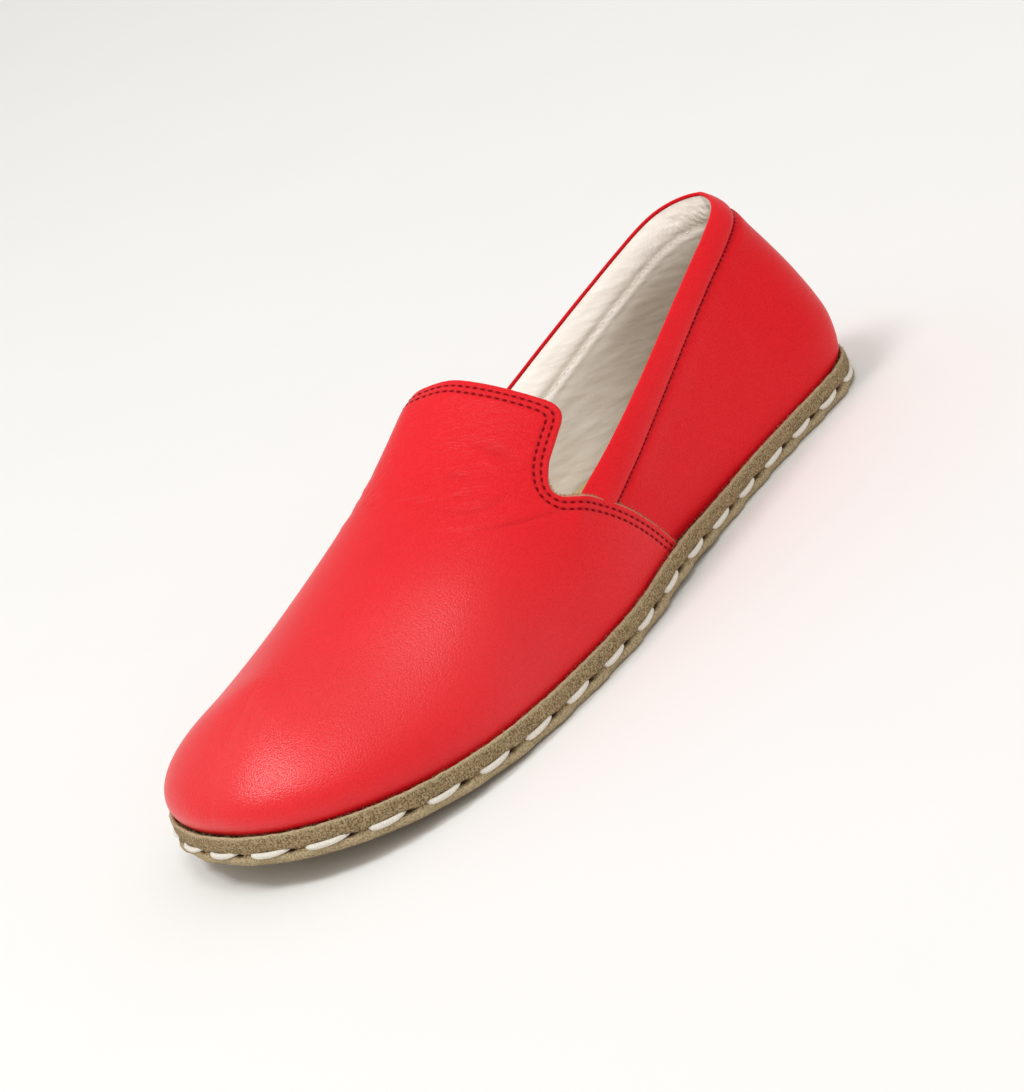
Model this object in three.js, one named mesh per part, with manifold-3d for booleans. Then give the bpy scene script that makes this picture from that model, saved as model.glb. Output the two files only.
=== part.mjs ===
// A slip-on loafer for the left foot: a soft leather upper with a tongued vamp and a bound collar,
// on a flat leather outsole with a thread groove round its edge.
//
// Millimetres. In the maker's frame X runs from the back of the heel to the toe, Y to the wearer's left,
// which is the lateral side, and Z up from the floor. The assembly is then centred over its own base.

import * as THREE from "three";
import { mergeVertices } from "three/addons/utils/BufferGeometryUtils.js";
import Module from "manifold-3d";

const wasm = await Module();
wasm.setup();

// Driving dimensions
const LENGTH = 270; // outsole, from heel to toe
const FIT_GAP = 0.3; // clearance between pieces that are sewn together
const TOE_SPRING = 9; // lift of the toe tip
const SPRING_FROM = 0.65; // share of the length where the toe starts to lift
const ARCH_LIFT = 1.4; // lift of the waist between heel and forefoot
const ARCH_SPAN = [0.32, 0.56]; // shares of the length between which the waist is lifted

const WALL = 1.6; // quarter leather and its lining
const VAMP_LEATHER = 1.1;
const BINDING_LEATHER = 1.0;
const BINDING_DEPTH = { back: 6.8, front: 9.2 }; // how far the collar binding reaches down outside
const BINDING_TURN = 0.35; // how far it turns down inside, as a share of that
const BINDING_ROUND = 1.0; // height of its fold's shoulders above the quarter's edge
const BINDING_SPARE = 8; // length past the seam that is trimmed off

const SEAT_HEIGHT = 7.4; // face of the outsole that carries the upper
const LIP_HEIGHT = 8.8; // rim of the outsole around the upper
const LIP_WIDTH = 1.3;
const INSOLE_THICKNESS = 2.0;
const INSOLE_EDGE = 0.6; // bevel round its top

const COLLAR = { backX: 5, backZ: 71.4, frontX: 141, frontZ: 39.2, sag: 0.4 };
const HEEL_POLE = 0.14; // shares of the length where the ribs of heel and toe meet
const TOE_POLE = 0.86;

// Fineness of the facets
const STATIONS = 44; // sections from heel to toe
const ROWS = 12; // rows up each rib
const COLLAR_STEPS = 14;
const CURVE_STEPS = 5;
const BISECTIONS = 24;
const CUTTER_REACH = 80; // half width of the cutting forms, past both sides
const FAR_UP = 140; // heights and places well outside the shoe, where the cutting forms end
const FAR_BACK = -40;
const SMALL_TURN = 1e-3; // steps for slopes, in turns, shares of a rib and millimetres
const SMALL_SHARE = 1e-3;
const SMALL_MOVE = 0.5;
const MERGE = 1e-3; // corners closer than this are one

// The outsole's outline from heel to toe. share: place along the length. lateral, medial: reach of the edge
// from the centre line. tuck: how far in from the edge the quarter meets the sole.
const OUTLINE = [
  { share: 0, lateral: 1.5, medial: -1.5, tuck: 2.7 },
  { share: 0.04, lateral: 20.9, medial: 22.2, tuck: 2.6 },
  { share: 0.12, lateral: 25.2, medial: 29, tuck: 2.0 },
  { share: 0.25, lateral: 27.9, medial: 29.6, tuck: 2.2 },
  { share: 0.4, lateral: 34.8, medial: 31.2, tuck: 3.3 },
  { share: 0.55, lateral: 43.2, medial: 39.2, tuck: 3.5 },
  { share: 0.68, lateral: 45.2, medial: 46.4, tuck: 3.6 },
  { share: 0.78, lateral: 44.2, medial: 49.4, tuck: 3.8 },
  { share: 0.88, lateral: 37.4, medial: 47.6, tuck: 4.3 },
  { share: 0.95, lateral: 25.6, medial: 38, tuck: 5.1 },
  { share: 1, lateral: -4.5, medial: 4.5, tuck: 5.8 },
];

// The ribs of the last, from heel to toe. crown, ridge: height and sideways place of the top line, which over
// the collar's opening is only a guide. rise, bulge: the lower handle of a rib's curve, as a share of its
// height and in millimetres outwards. shoulder: the upper handle, as a share of its width.
const RIBS = [
  { share: 0, crown: 102.2, ridge: 0, rise: 0.14, bulge: 11.6, shoulder: 0.33 },
  { share: 0.04, crown: 100.7, ridge: -2.3, rise: 0.12, bulge: 9.6, shoulder: 0.23 },
  { share: 0.12, crown: 97, ridge: -6, rise: 0.36, bulge: 1.7, shoulder: 0.16 },
  { share: 0.25, crown: 94.5, ridge: -8.5, rise: 0.43, bulge: 0.7, shoulder: 0.42 },
  { share: 0.4, crown: 84, ridge: -15.4, rise: 0.49, bulge: 1.1, shoulder: 0.78 },
  { share: 0.55, crown: 63.8, ridge: -16.3, rise: 0.5, bulge: 1.8, shoulder: 0.75 },
  { share: 0.68, crown: 51, ridge: -4.4, rise: 0.52, bulge: 2.6, shoulder: 0.73 },
  { share: 0.78, crown: 44.2, ridge: -3.8, rise: 0.5, bulge: 3.1, shoulder: 0.5 },
  { share: 0.88, crown: 40.4, ridge: -1.7, rise: 0.47, bulge: 6.8, shoulder: 0.31 },
  { share: 0.95, crown: 38.7, ridge: -2.5, rise: 0.43, bulge: 12.4, shoulder: 0.28 },
  { share: 1, crown: 37.5, ridge: -2, rise: 0.4, bulge: 13.7, shoulder: 0.18 },
];

// Corners of the throat seen from the side, from the notch up to the tongue's top, with their rounding.
const THROAT = [
  { x: 148.2, z: 45.4, round: 4.0 },
  { x: 142.0, z: 50.6, round: 3.0 },
  { x: 124.6, z: 58.7, round: 4.0 },
  { x: 136.2, z: 78.0, round: 2.0 },
];

// The seam where the vamp laps the quarter, seen from the side, as a curve from the collar to the sole.
const SEAM = { topX: 140, topZ: 40.6, bendX: 127.3, bendZ: 31, footX: 112.5, footZ: 4, overCollar: 1 };

// Section of the outsole's side from its seat to its base: inset from the edge, and height.
const OUTSOLE_SIDE = [
  { inset: LIP_WIDTH, height: SEAT_HEIGHT },
  { inset: LIP_WIDTH, height: LIP_HEIGHT },
  { inset: 0.4, height: LIP_HEIGHT },
  { inset: 0.0, height: 8.2 },
  { inset: -0.1, height: 6.2 },
  { inset: 0.2, height: 4.4 },
  { inset: 1.5, height: 3.8 },
  { inset: 0.3, height: 3.2 },
  { inset: 0.1, height: 2.2 },
  { inset: 0.8, height: 0.8 },
  { inset: 2.2, height: 0.0 },
];

// Section of the collar binding: offset from the quarter's outside, and its place below the quarter's top
// edge, as a share of the binding's depth plus a fixed drop.
const TURN_IN = -WALL - FIT_GAP;
const BINDING_SECTION = [
  { offset: FIT_GAP, share: 1, drop: 0 },
  { offset: FIT_GAP + BINDING_LEATHER, share: 1, drop: 0 },
  { offset: FIT_GAP + 1.3 * BINDING_LEATHER, share: 0.5, drop: 0 },
  { offset: FIT_GAP + 1.1 * BINDING_LEATHER, share: 0, drop: 0.5 * BINDING_ROUND },
  { offset: FIT_GAP, share: 0, drop: -BINDING_ROUND },
  { offset: -0.5 * WALL, share: 0, drop: -FIT_GAP - BINDING_LEATHER },
  { offset: TURN_IN, share: 0, drop: -BINDING_ROUND },
  { offset: TURN_IN - 0.8 * BINDING_LEATHER, share: 0, drop: 0.5 * BINDING_ROUND },
  { offset: TURN_IN - 0.6 * BINDING_LEATHER, share: BINDING_TURN, drop: 0 },
  { offset: TURN_IN, share: BINDING_TURN, drop: 0 },
  { offset: TURN_IN, share: 0, drop: -FIT_GAP },
  { offset: FIT_GAP, share: 0, drop: -FIT_GAP },
  { offset: FIT_GAP, share: 0.5, drop: 0 },
];

// Smooth columns of the two tables

// A walk from 0 at the heel to 1 at the toe that slows down at both ends, so that they come out round.
const walkOf = (share) => Math.acos(THREE.MathUtils.clamp(1 - 2 * share, -1, 1)) / Math.PI;
const placeOf = (walk) => (LENGTH * (1 - Math.cos(Math.PI * walk))) / 2;

// A natural cubic spline through one column, read by the walk.
function smoothColumn(table, name) {
  const at = table.map((row) => walkOf(row.share));
  const value = table.map((row) => row[name]);
  const last = at.length - 1;
  const bend = new Array(at.length).fill(0);
  const share = new Array(at.length).fill(0);
  for (let i = 1; i < last; i++) {
    const before = at[i] - at[i - 1];
    const after = at[i + 1] - at[i];
    const turn = (value[i + 1] - value[i]) / after - (value[i] - value[i - 1]) / before;
    const pivot = 2 * (before + after) - before * share[i - 1];
    share[i] = after / pivot;
    bend[i] = (6 * turn - before * bend[i - 1]) / pivot;
  }
  for (let i = last - 1; i > 0; i--) bend[i] -= share[i] * bend[i + 1];

  return (walk) => {
    let i = 0;
    while (i < last - 1 && walk > at[i + 1]) i++;
    const span = at[i + 1] - at[i];
    const b = (walk - at[i]) / span;
    const a = 1 - b;
    const curve = ((a ** 3 - a) * bend[i] + (b ** 3 - b) * bend[i + 1]) * (span * span) / 6;
    return a * value[i] + b * value[i + 1] + curve;
  };
}

const lateral = smoothColumn(OUTLINE, "lateral");
const medial = smoothColumn(OUTLINE, "medial");
const tuck = smoothColumn(OUTLINE, "tuck");
const crown = smoothColumn(RIBS, "crown");
const ridge = smoothColumn(RIBS, "ridge");
const rise = smoothColumn(RIBS, "rise");
const bulge = smoothColumn(RIBS, "bulge");
const shoulder = smoothColumn(RIBS, "shoulder");

// Plan outline of the outsole

// A turn runs from 0 at the heel along the lateral side to 1 at the toe, and back along the medial side to 2.
const TURNS = Array.from({ length: 2 * STATIONS }, (_, k) => k / STATIONS);

function walkOfTurn(turn) {
  const wrapped = ((turn % 2) + 2) % 2;
  return { walk: wrapped <= 1 ? wrapped : 2 - wrapped, isLateral: wrapped <= 1 };
}

function outlinePoint(turn) {
  const { walk, isLateral } = walkOfTurn(turn);
  return new THREE.Vector2(placeOf(walk), isLateral ? lateral(walk) : -medial(walk));
}

function outwardAt(turn) {
  const along = outlinePoint(turn + SMALL_TURN).sub(outlinePoint(turn - SMALL_TURN)).normalize();
  return new THREE.Vector2(-along.y, along.x);
}

function insetPoint(turn, inset) {
  return outlinePoint(turn).addScaledVector(outwardAt(turn), -inset);
}

// Lift of the base off the floor: flat under heel and forefoot, arched at the waist, sprung at the toe.
function liftAt(x) {
  const [from, to] = ARCH_SPAN;
  const waist = THREE.MathUtils.clamp((x / LENGTH - from) / (to - from), 0, 1);
  const toe = Math.max(0, (x / LENGTH - SPRING_FROM) / (1 - SPRING_FROM));
  return ARCH_LIFT * Math.sin(Math.PI * waist) ** 2 + TOE_SPRING * toe ** 2;
}

// The last: ribs that rise from the sole's edge to the top line

function ribAt(turn) {
  const { walk } = walkOfTurn(turn);
  const out = outwardAt(turn);
  const foot = insetPoint(turn, tuck(walk));
  const base = new THREE.Vector3(foot.x, foot.y, SEAT_HEIGHT + FIT_GAP + liftAt(foot.x));

  const topX = THREE.MathUtils.clamp(placeOf(walk), HEEL_POLE * LENGTH, TOE_POLE * LENGTH);
  const topWalk = walkOf(topX / LENGTH);
  const middle = (lateral(topWalk) - medial(topWalk)) / 2;
  const top = new THREE.Vector3(topX, middle + ridge(topWalk), crown(topWalk));
  const crownAt = (x) => crown(walkOf(x / LENGTH));
  const slope = (crownAt(topX + SMALL_MOVE) - crownAt(topX - SMALL_MOVE)) / (2 * SMALL_MOVE);

  const reach = new THREE.Vector2(base.x - top.x, base.y - top.y);
  const away = reach.clone().normalize().multiplyScalar(bulge(walk));
  const low = base.clone().add(new THREE.Vector3(away.x, away.y, rise(walk) * (top.z - base.z)));
  reach.multiplyScalar(shoulder(walk));
  const high = top.clone().add(new THREE.Vector3(reach.x, reach.y, slope * reach.x));
  return { curve: new THREE.CubicBezierCurve3(base, low, high, top), out, slope };
}

// Outward normal of the last at a turn, a share of the way up the rib.
function normalAt(turn, up) {
  const { curve, out, slope } = ribAt(turn);
  if (up <= 0) {
    const foot = curve.v0.x;
    return new THREE.Vector3(out.x, out.y, liftAt(foot + out.x) - liftAt(foot)).normalize();
  }
  if (up >= 1) return new THREE.Vector3(-slope, 0, 1).normalize();
  const ahead = ribAt(turn + SMALL_TURN).curve.getPoint(up);
  const along = ahead.sub(ribAt(turn - SMALL_TURN).curve.getPoint(up));
  return curve.getTangent(up).cross(along).normalize();
}

// The last's points and normals on the grid that every shell shares.
const LAST = TURNS.map((turn) => {
  const { curve } = ribAt(turn);
  return Array.from({ length: ROWS + 1 }, (_, row) => ({
    point: curve.getPoint(row / ROWS),
    normal: normalAt(turn, row / ROWS),
  }));
});

const offsetPoint = ({ point, normal }, offset) => point.clone().addScaledVector(normal, offset);

// Solids

function triangle(soup, a, b, c) {
  soup.push(a.x, a.y, a.z, b.x, b.y, b.z, c.x, c.y, c.z);
}

function quad(soup, a, b, c, d) {
  triangle(soup, a, b, c);
  triangle(soup, a, c, d);
}

// A manifold solid from loose triangles: shared corners are merged and collapsed triangles dropped.
function solidFrom(positions) {
  const loose = new THREE.BufferGeometry();
  loose.setAttribute("position", new THREE.Float32BufferAttribute(positions, 3));
  const merged = mergeVertices(loose, MERGE);
  const kept = [];
  const index = merged.index.array;
  for (let i = 0; i < index.length; i += 3) {
    const [a, b, c] = index.subarray(i, i + 3);
    if (a !== b && b !== c && c !== a) kept.push(a, b, c);
  }
  const vertProperties = merged.getAttribute("position").array;
  return new wasm.Manifold(new wasm.Mesh({ numProp: 3, vertProperties, triVerts: new Uint32Array(kept) }));
}

function geometryFrom(solid) {
  const mesh = solid.getMesh();
  const geometry = new THREE.BufferGeometry();
  geometry.setAttribute("position", new THREE.BufferAttribute(mesh.vertProperties, 3));
  geometry.setIndex(new THREE.BufferAttribute(mesh.triVerts, 1));
  geometry.computeVertexNormals();
  return geometry;
}

// A closed dome with a wall between two offsets from the last, open underneath.
function shell(inner, outer) {
  const soup = [];
  const outside = LAST.map((rib) => rib.map((place) => offsetPoint(place, outer)));
  const inside = LAST.map((rib) => rib.map((place) => offsetPoint(place, inner)));
  LAST.forEach((_, j) => {
    const next = (j + 1) % LAST.length;
    for (let i = 0; i < ROWS; i++) {
      quad(soup, outside[j][i], outside[j][i + 1], outside[next][i + 1], outside[next][i]);
      quad(soup, inside[j][i], inside[next][i], inside[next][i + 1], inside[j][i + 1]);
    }
    quad(soup, outside[j][0], outside[next][0], inside[next][0], inside[j][0]);
  });
  return solidFrom(soup);
}

// A plate of the sole: rings of points round the outline, closed straight across at the first and last ring.
function plate(rings) {
  const soup = [];
  const count = TURNS.length;
  for (let r = 0; r + 1 < rings.length; r++) {
    for (let j = 0; j < count; j++) {
      const next = (j + 1) % count;
      quad(soup, rings[r][j], rings[r][next], rings[r + 1][next], rings[r + 1][j]);
    }
  }
  const [top, base] = [rings[0], rings[rings.length - 1]];
  for (let k = 0; k < STATIONS; k++) {
    const [across, acrossNext] = [(count - k) % count, count - k - 1];
    quad(soup, top[k], top[across], top[acrossNext], top[k + 1]);
    quad(soup, base[k], base[k + 1], base[acrossNext], base[across]);
  }
  return solidFrom(soup);
}

// A ring at one height and a fixed inset, or with an inset from the place where the quarter is tucked in.
function ring(inset, height, fromTuck = false) {
  return TURNS.map((turn) => {
    const foot = insetPoint(turn, inset + (fromTuck ? tuck(walkOfTurn(turn).walk) : 0));
    return new THREE.Vector3(foot.x, foot.y, height + liftAt(foot.x));
  });
}

// A cutting form: an outline seen from the side, drawn right across the shoe.
function sideCutter(shape) {
  const options = { depth: 2 * CUTTER_REACH, bevelEnabled: false, curveSegments: CURVE_STEPS };
  const geometry = new THREE.ExtrudeGeometry(shape, options);
  geometry.rotateX(Math.PI / 2).translate(0, CUTTER_REACH, 0);
  return solidFrom(geometry.getAttribute("position").array);
}

// Height of the collar's edge, seen from the side.
function collarHeight(x) {
  const way = (x - COLLAR.backX) / (COLLAR.frontX - COLLAR.backX);
  return THREE.MathUtils.lerp(COLLAR.backZ, COLLAR.frontZ, way) - COLLAR.sag * 4 * way * (1 - way);
}

// Draws straight stretches between corners, each corner rounded.
function roundedLines(shape, corners, end) {
  const point = ({ x, z }) => new THREE.Vector2(x, z);
  let from = shape.currentPoint.clone();
  corners.forEach((corner, i) => {
    const here = point(corner);
    const to = i + 1 < corners.length ? point(corners[i + 1]) : point(end);
    const start = here.clone().addScaledVector(from.clone().sub(here).normalize(), corner.round);
    const stop = here.clone().addScaledVector(to.clone().sub(here).normalize(), corner.round);
    shape.lineTo(start.x, start.y);
    shape.quadraticCurveTo(here.x, here.y, stop.x, stop.y);
    from = stop;
  });
  shape.lineTo(end.x, end.z);
}

// All that is open above the collar and behind the throat.
function openingShape() {
  const shape = new THREE.Shape();
  shape.moveTo(FAR_BACK, collarHeight(COLLAR.backX));
  for (let k = 0; k <= COLLAR_STEPS; k++) {
    const x = THREE.MathUtils.lerp(COLLAR.backX, COLLAR.frontX, k / COLLAR_STEPS);
    shape.lineTo(x, collarHeight(x));
  }
  const tongueTop = THROAT[THROAT.length - 1];
  roundedLines(shape, THROAT, { x: tongueTop.x, z: FAR_UP });
  shape.lineTo(FAR_BACK, FAR_UP);
  return shape;
}

// All behind the seam where the vamp laps the quarter, below the collar.
function behindSeamShape() {
  const shape = new THREE.Shape();
  shape.moveTo(FAR_BACK, collarHeight(FAR_BACK) + SEAM.overCollar);
  shape.lineTo(SEAM.topX, SEAM.topZ);
  shape.quadraticCurveTo(SEAM.bendX, SEAM.bendZ, SEAM.footX, SEAM.footZ);
  shape.lineTo(FAR_BACK, SEAM.footZ);
  return shape;
}

// All in front of that seam, with room for the vamp's edge.
function aheadOfSeamShape() {
  const shape = new THREE.Shape();
  shape.moveTo(SEAM.footX - FIT_GAP, SEAM.footZ);
  shape.quadraticCurveTo(SEAM.bendX - FIT_GAP, SEAM.bendZ, SEAM.topX - FIT_GAP, SEAM.topZ);
  shape.lineTo(SEAM.topX - FIT_GAP, FAR_UP);
  shape.lineTo(LENGTH, FAR_UP);
  shape.lineTo(LENGTH, SEAM.footZ);
  return shape;
}

// The collar binding: a folded strip over the quarter's top edge, from seam to seam round the heel.

// A point off the last at a turn, a share of the way up the rib.
function lastPoint(turn, up, offset) {
  return offsetPoint({ point: ribAt(turn).curve.getPoint(up), normal: normalAt(turn, up) }, offset);
}

// Share of the way up a rib where the surface at an offset meets the collar's edge.
function collarShare(turn, offset) {
  let [low, high] = [0, 1];
  for (let i = 0; i < BISECTIONS; i++) {
    const half = (low + high) / 2;
    const { x, z } = lastPoint(turn, half, offset);
    if (z < collarHeight(x)) low = half;
    else high = half;
  }
  return low;
}

function bindingRing(turn) {
  const { curve } = ribAt(turn);
  const way = placeOf(walkOfTurn(turn).walk) / SEAM.topX;
  const reach = THREE.MathUtils.lerp(BINDING_DEPTH.back, BINDING_DEPTH.front, way);
  return BINDING_SECTION.map(({ offset, share, drop }) => {
    const depth = share * reach + drop;
    const edge = collarShare(turn, offset);
    const above = curve.getPoint(edge + SMALL_SHARE);
    const pace = above.distanceTo(curve.getPoint(edge - SMALL_SHARE)) / (2 * SMALL_SHARE);
    return lastPoint(turn, edge - depth / pace, offset);
  });
}

function bindingStrip() {
  const reach = TURNS.filter((turn) => turn <= 1 && placeOf(turn) < SEAM.topX + BINDING_SPARE);
  const turns = [...reach.slice(1).reverse().map((turn) => 2 - turn), ...reach];
  const rings = turns.map(bindingRing);
  const soup = [];
  const count = BINDING_SECTION.length;
  for (let r = 0; r + 1 < rings.length; r++) {
    for (let q = 0; q < count; q++) {
      const next = (q + 1) % count;
      quad(soup, rings[r][q], rings[r][next], rings[r + 1][next], rings[r + 1][q]);
    }
  }
  const flat = BINDING_SECTION.map(({ offset, share, drop }) => {
    return new THREE.Vector2(offset, -share * BINDING_DEPTH.back - drop);
  });
  const [start, end] = [rings[0], rings[rings.length - 1]];
  for (const [a, b, c] of THREE.ShapeUtils.triangulateShape(flat, [])) {
    triangle(soup, start[a], start[c], start[b]);
    triangle(soup, end[a], end[b], end[c]);
  }
  return solidFrom(soup);
}

// The pieces

const opening = sideCutter(openingShape());

const outsole = plate(OUTSOLE_SIDE.map(({ inset, height }) => ring(inset, height)));

const insoleInset = WALL + FIT_GAP;
const insoleBase = SEAT_HEIGHT + FIT_GAP;
const insoleTop = insoleBase + INSOLE_THICKNESS;
const insole = plate([
  ring(insoleInset + INSOLE_EDGE, insoleTop, true),
  ring(insoleInset, insoleTop - INSOLE_EDGE, true),
  ring(insoleInset, insoleBase, true),
]);

const upper = shell(-WALL, 0).subtract(opening);

const vamp = shell(FIT_GAP, FIT_GAP + VAMP_LEATHER)
  .subtract(opening)
  .subtract(sideCutter(behindSeamShape()));

const collarBinding = bindingStrip().subtract(sideCutter(aheadOfSeamShape()));

// Assembly

const red = new THREE.MeshStandardMaterial({ color: 0xdc2a30, roughness: 0.45, metalness: 0 });
const natural = new THREE.MeshStandardMaterial({ color: 0x9c8760, roughness: 0.9, metalness: 0 });
const sock = new THREE.MeshStandardMaterial({ color: 0x9a8a62, roughness: 0.85, metalness: 0 });

function piece(name, solid, material) {
  const mesh = new THREE.Mesh(geometryFrom(solid), material);
  mesh.name = name;
  return mesh;
}

const maker = new THREE.Group();
maker.add(piece("outsole", outsole, natural));
maker.add(piece("insole", insole, sock));
maker.add(piece("upper", upper, red));
maker.add(piece("vamp", vamp, red));
maker.add(piece("collar_binding", collarBinding, red));

const extent = new THREE.Box3().setFromObject(maker);
const middle = extent.getCenter(new THREE.Vector3());
maker.position.set(-middle.x, -middle.y, -extent.min.z);

const loafer = new THREE.Group();
loafer.name = "loafer";
loafer.add(maker);

export default loafer;
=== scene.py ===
# %% [markdown]
# # A red slip-on loafer, dressed on its frame
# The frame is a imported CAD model: an outsole, an insole, a thin upper, a vamp and a collar binding. It has
# the right shapes and sizes, but no grain, no stitches and no lining. In this lesson each of its pieces gets
# a finer one in its place, made from the same few curves, and a material that is built from nodes.

# %% The frame
import math

import bpy
import numpy as np
from mathutils import Matrix, Vector, noise
from mathutils.kdtree import KDTree


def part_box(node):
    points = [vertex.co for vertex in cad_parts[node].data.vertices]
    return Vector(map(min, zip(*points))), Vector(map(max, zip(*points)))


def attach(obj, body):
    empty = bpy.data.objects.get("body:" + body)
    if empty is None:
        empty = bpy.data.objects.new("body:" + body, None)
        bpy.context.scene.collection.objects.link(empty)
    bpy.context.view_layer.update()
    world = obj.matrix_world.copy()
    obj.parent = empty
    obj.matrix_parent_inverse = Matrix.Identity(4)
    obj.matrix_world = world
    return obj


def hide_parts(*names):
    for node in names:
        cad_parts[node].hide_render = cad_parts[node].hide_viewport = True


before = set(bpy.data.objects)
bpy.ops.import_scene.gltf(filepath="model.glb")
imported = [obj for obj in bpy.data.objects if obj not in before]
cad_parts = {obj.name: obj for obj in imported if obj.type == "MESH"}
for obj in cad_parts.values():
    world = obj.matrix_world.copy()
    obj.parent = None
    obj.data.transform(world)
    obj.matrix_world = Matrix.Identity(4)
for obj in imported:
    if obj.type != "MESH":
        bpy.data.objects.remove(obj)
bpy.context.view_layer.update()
rng = np.random.default_rng(41)
print("nodes of the frame:", sorted(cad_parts))

# %% [markdown]
# ## The last
# A shoe is made over a last, the wooden form of a foot. Here the last is a function: a place round the
# sole's edge and a share of the way up give a point of the surface. Two short tables hold the outline of the
# sole and the ribs that rise from it, and cubic splines run through their columns. Every piece of leather
# below is a stretch of this one surface, so the pieces lie on each other the way they do on a real shoe.
#
# Sizes are millimetres from the back of the heel: X to the toe, Y to the outer side of this left shoe, Z up.

# %% Tables of the last
MM = 1000  # millimetres in a metre
LENGTH = 270.0
SEAT = 7.4  # top of the outsole, where the upper stands
FIT_GAP = 0.3
TOE_SPRING, SPRING_FROM = 9.0, 0.65
ARCH_LIFT, ARCH_FROM, ARCH_TO = 1.4, 0.32, 0.56
HEEL_POLE, TOE_POLE = 0.14, 0.86  # shares of the length where the ribs of heel and toe meet
SMALL = 1e-3  # step of a turn or a share that gives a direction

# share of the length, outer reach, inner reach, tuck of the upper behind the sole's edge
OUTLINE = np.array([
    (0.00, 1.5, -1.5, 2.7),
    (0.04, 20.9, 22.2, 2.6),
    (0.12, 25.2, 29.0, 2.0),
    (0.25, 27.9, 29.6, 2.2),
    (0.40, 34.8, 31.2, 3.3),
    (0.55, 43.2, 39.2, 3.5),
    (0.68, 45.2, 46.4, 3.6),
    (0.78, 44.2, 49.4, 3.8),
    (0.88, 37.4, 47.6, 4.3),
    (0.95, 25.6, 38.0, 5.1),
    (1.00, -4.5, 4.5, 5.8),
])

# share of the length, crown, ridge, rise, bulge, shoulder
RIBS = np.array([
    (0.00, 102.2, 0.0, 0.14, 11.6, 0.33),
    (0.04, 100.7, -2.3, 0.12, 9.6, 0.23),
    (0.12, 97.0, -6.0, 0.36, 1.7, 0.16),
    (0.25, 94.5, -8.5, 0.43, 0.7, 0.42),
    (0.40, 84.0, -15.4, 0.49, 1.1, 0.78),
    (0.55, 63.8, -16.3, 0.50, 1.8, 0.75),
    (0.68, 51.0, -4.4, 0.52, 2.6, 0.73),
    (0.78, 44.2, -3.8, 0.50, 3.1, 0.50),
    (0.88, 40.4, -1.7, 0.47, 6.8, 0.31),
    (0.95, 38.7, -2.5, 0.43, 12.4, 0.28),
    (1.00, 37.5, -2.0, 0.40, 13.7, 0.18),
])

print(len(OUTLINE), "places of the outline and", len(RIBS), "ribs")

# %% [markdown]
# A spline has to be read by something. Here that is a walk from heel to toe, which slows down at both ends,
# so that heel and toe come out round and not pointed.

# %% Curves through the tables
def walk_of(share):
    """The walk that has covered a share of the length."""
    return np.arccos(np.clip(1 - 2 * share, -1, 1)) / np.pi


def place_of(walk):
    return LENGTH * (1 - np.cos(np.pi * walk)) / 2


def smooth_column(table, column):
    """A natural cubic spline through one column of a table, read by the walk."""
    at, value = walk_of(table[:, 0]), table[:, column]
    matrix, turns = np.eye(len(at)), np.zeros(len(at))
    for i in range(1, len(at) - 1):
        before, after = at[i] - at[i - 1], at[i + 1] - at[i]
        matrix[i, i - 1:i + 2] = before, 2 * (before + after), after
        turns[i] = 6 * ((value[i + 1] - value[i]) / after - (value[i] - value[i - 1]) / before)
    bend = np.linalg.solve(matrix, turns)

    def read(walk):
        i = np.clip(np.searchsorted(at, walk) - 1, 0, len(at) - 2)
        span = at[i + 1] - at[i]
        b = (walk - at[i]) / span
        a = 1 - b
        curve = (a**3 - a) * bend[i] + (b**3 - b) * bend[i + 1]
        return a * value[i] + b * value[i + 1] + curve * span**2 / 6

    return read


lateral, medial, tuck = (smooth_column(OUTLINE, column) for column in (1, 2, 3))
crown, ridge, rise, bulge, shoulder = (smooth_column(RIBS, column) for column in (1, 2, 3, 4, 5))
print("widest place of the sole:", round(float(lateral(0.55) + medial(0.65)), 1), "mm")

# %% [markdown]
# A turn counts from 0 at the heel along the outer side to 1 at the toe, and along the inner side back to 2.
# It gives a point on the sole's edge. The sole is flat under heel and forefoot, so that the shoe stands, and
# it lifts a little at the waist and more at the toe.

# %% Edge and lift of the sole
def unit(vectors):
    return vectors / np.maximum(np.linalg.norm(vectors, axis=-1, keepdims=True), 1e-12)


def walk_of_turn(turn):
    wrapped = np.mod(turn, 2)
    return np.minimum(wrapped, 2 - wrapped)


def outline(turn):
    walk = walk_of_turn(turn)
    side = np.where(np.mod(turn, 2) <= 1, lateral(walk), -medial(walk))
    return np.stack([place_of(walk), side], -1)


def outward(turn):
    along = unit(outline(turn + SMALL) - outline(turn - SMALL))
    return np.stack([-along[..., 1], along[..., 0]], -1)


def lift(x):
    """Lift of the sole: flat under heel and forefoot, arched at the waist, sprung at the toe."""
    waist = np.clip((x / LENGTH - ARCH_FROM) / (ARCH_TO - ARCH_FROM), 0, 1)
    toe = np.maximum(0, (x / LENGTH - SPRING_FROM) / (1 - SPRING_FROM))
    return ARCH_LIFT * np.sin(np.pi * waist)**2 + TOE_SPRING * toe**2


def edge_point(turn, inset, height):
    """A point near the sole's edge: inset from its outline, at a height over its lifted base."""
    foot = outline(turn) - outward(turn) * np.asarray(inset)[..., None]
    return np.stack([foot[..., 0], foot[..., 1], height + lift(foot[..., 0])], -1)


print("the toe is sprung by", round(float(lift(LENGTH)), 1), "mm")

# %% [markdown]
# At each turn a rib, a cubic Bezier curve, climbs from the sole to the top line. Its tables say how far the
# wall bulges and how broad the shoulder under the top line is. The normal comes from two directions, one
# along the turn and one up the rib, and it lets a piece lie at any height over the last.

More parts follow.
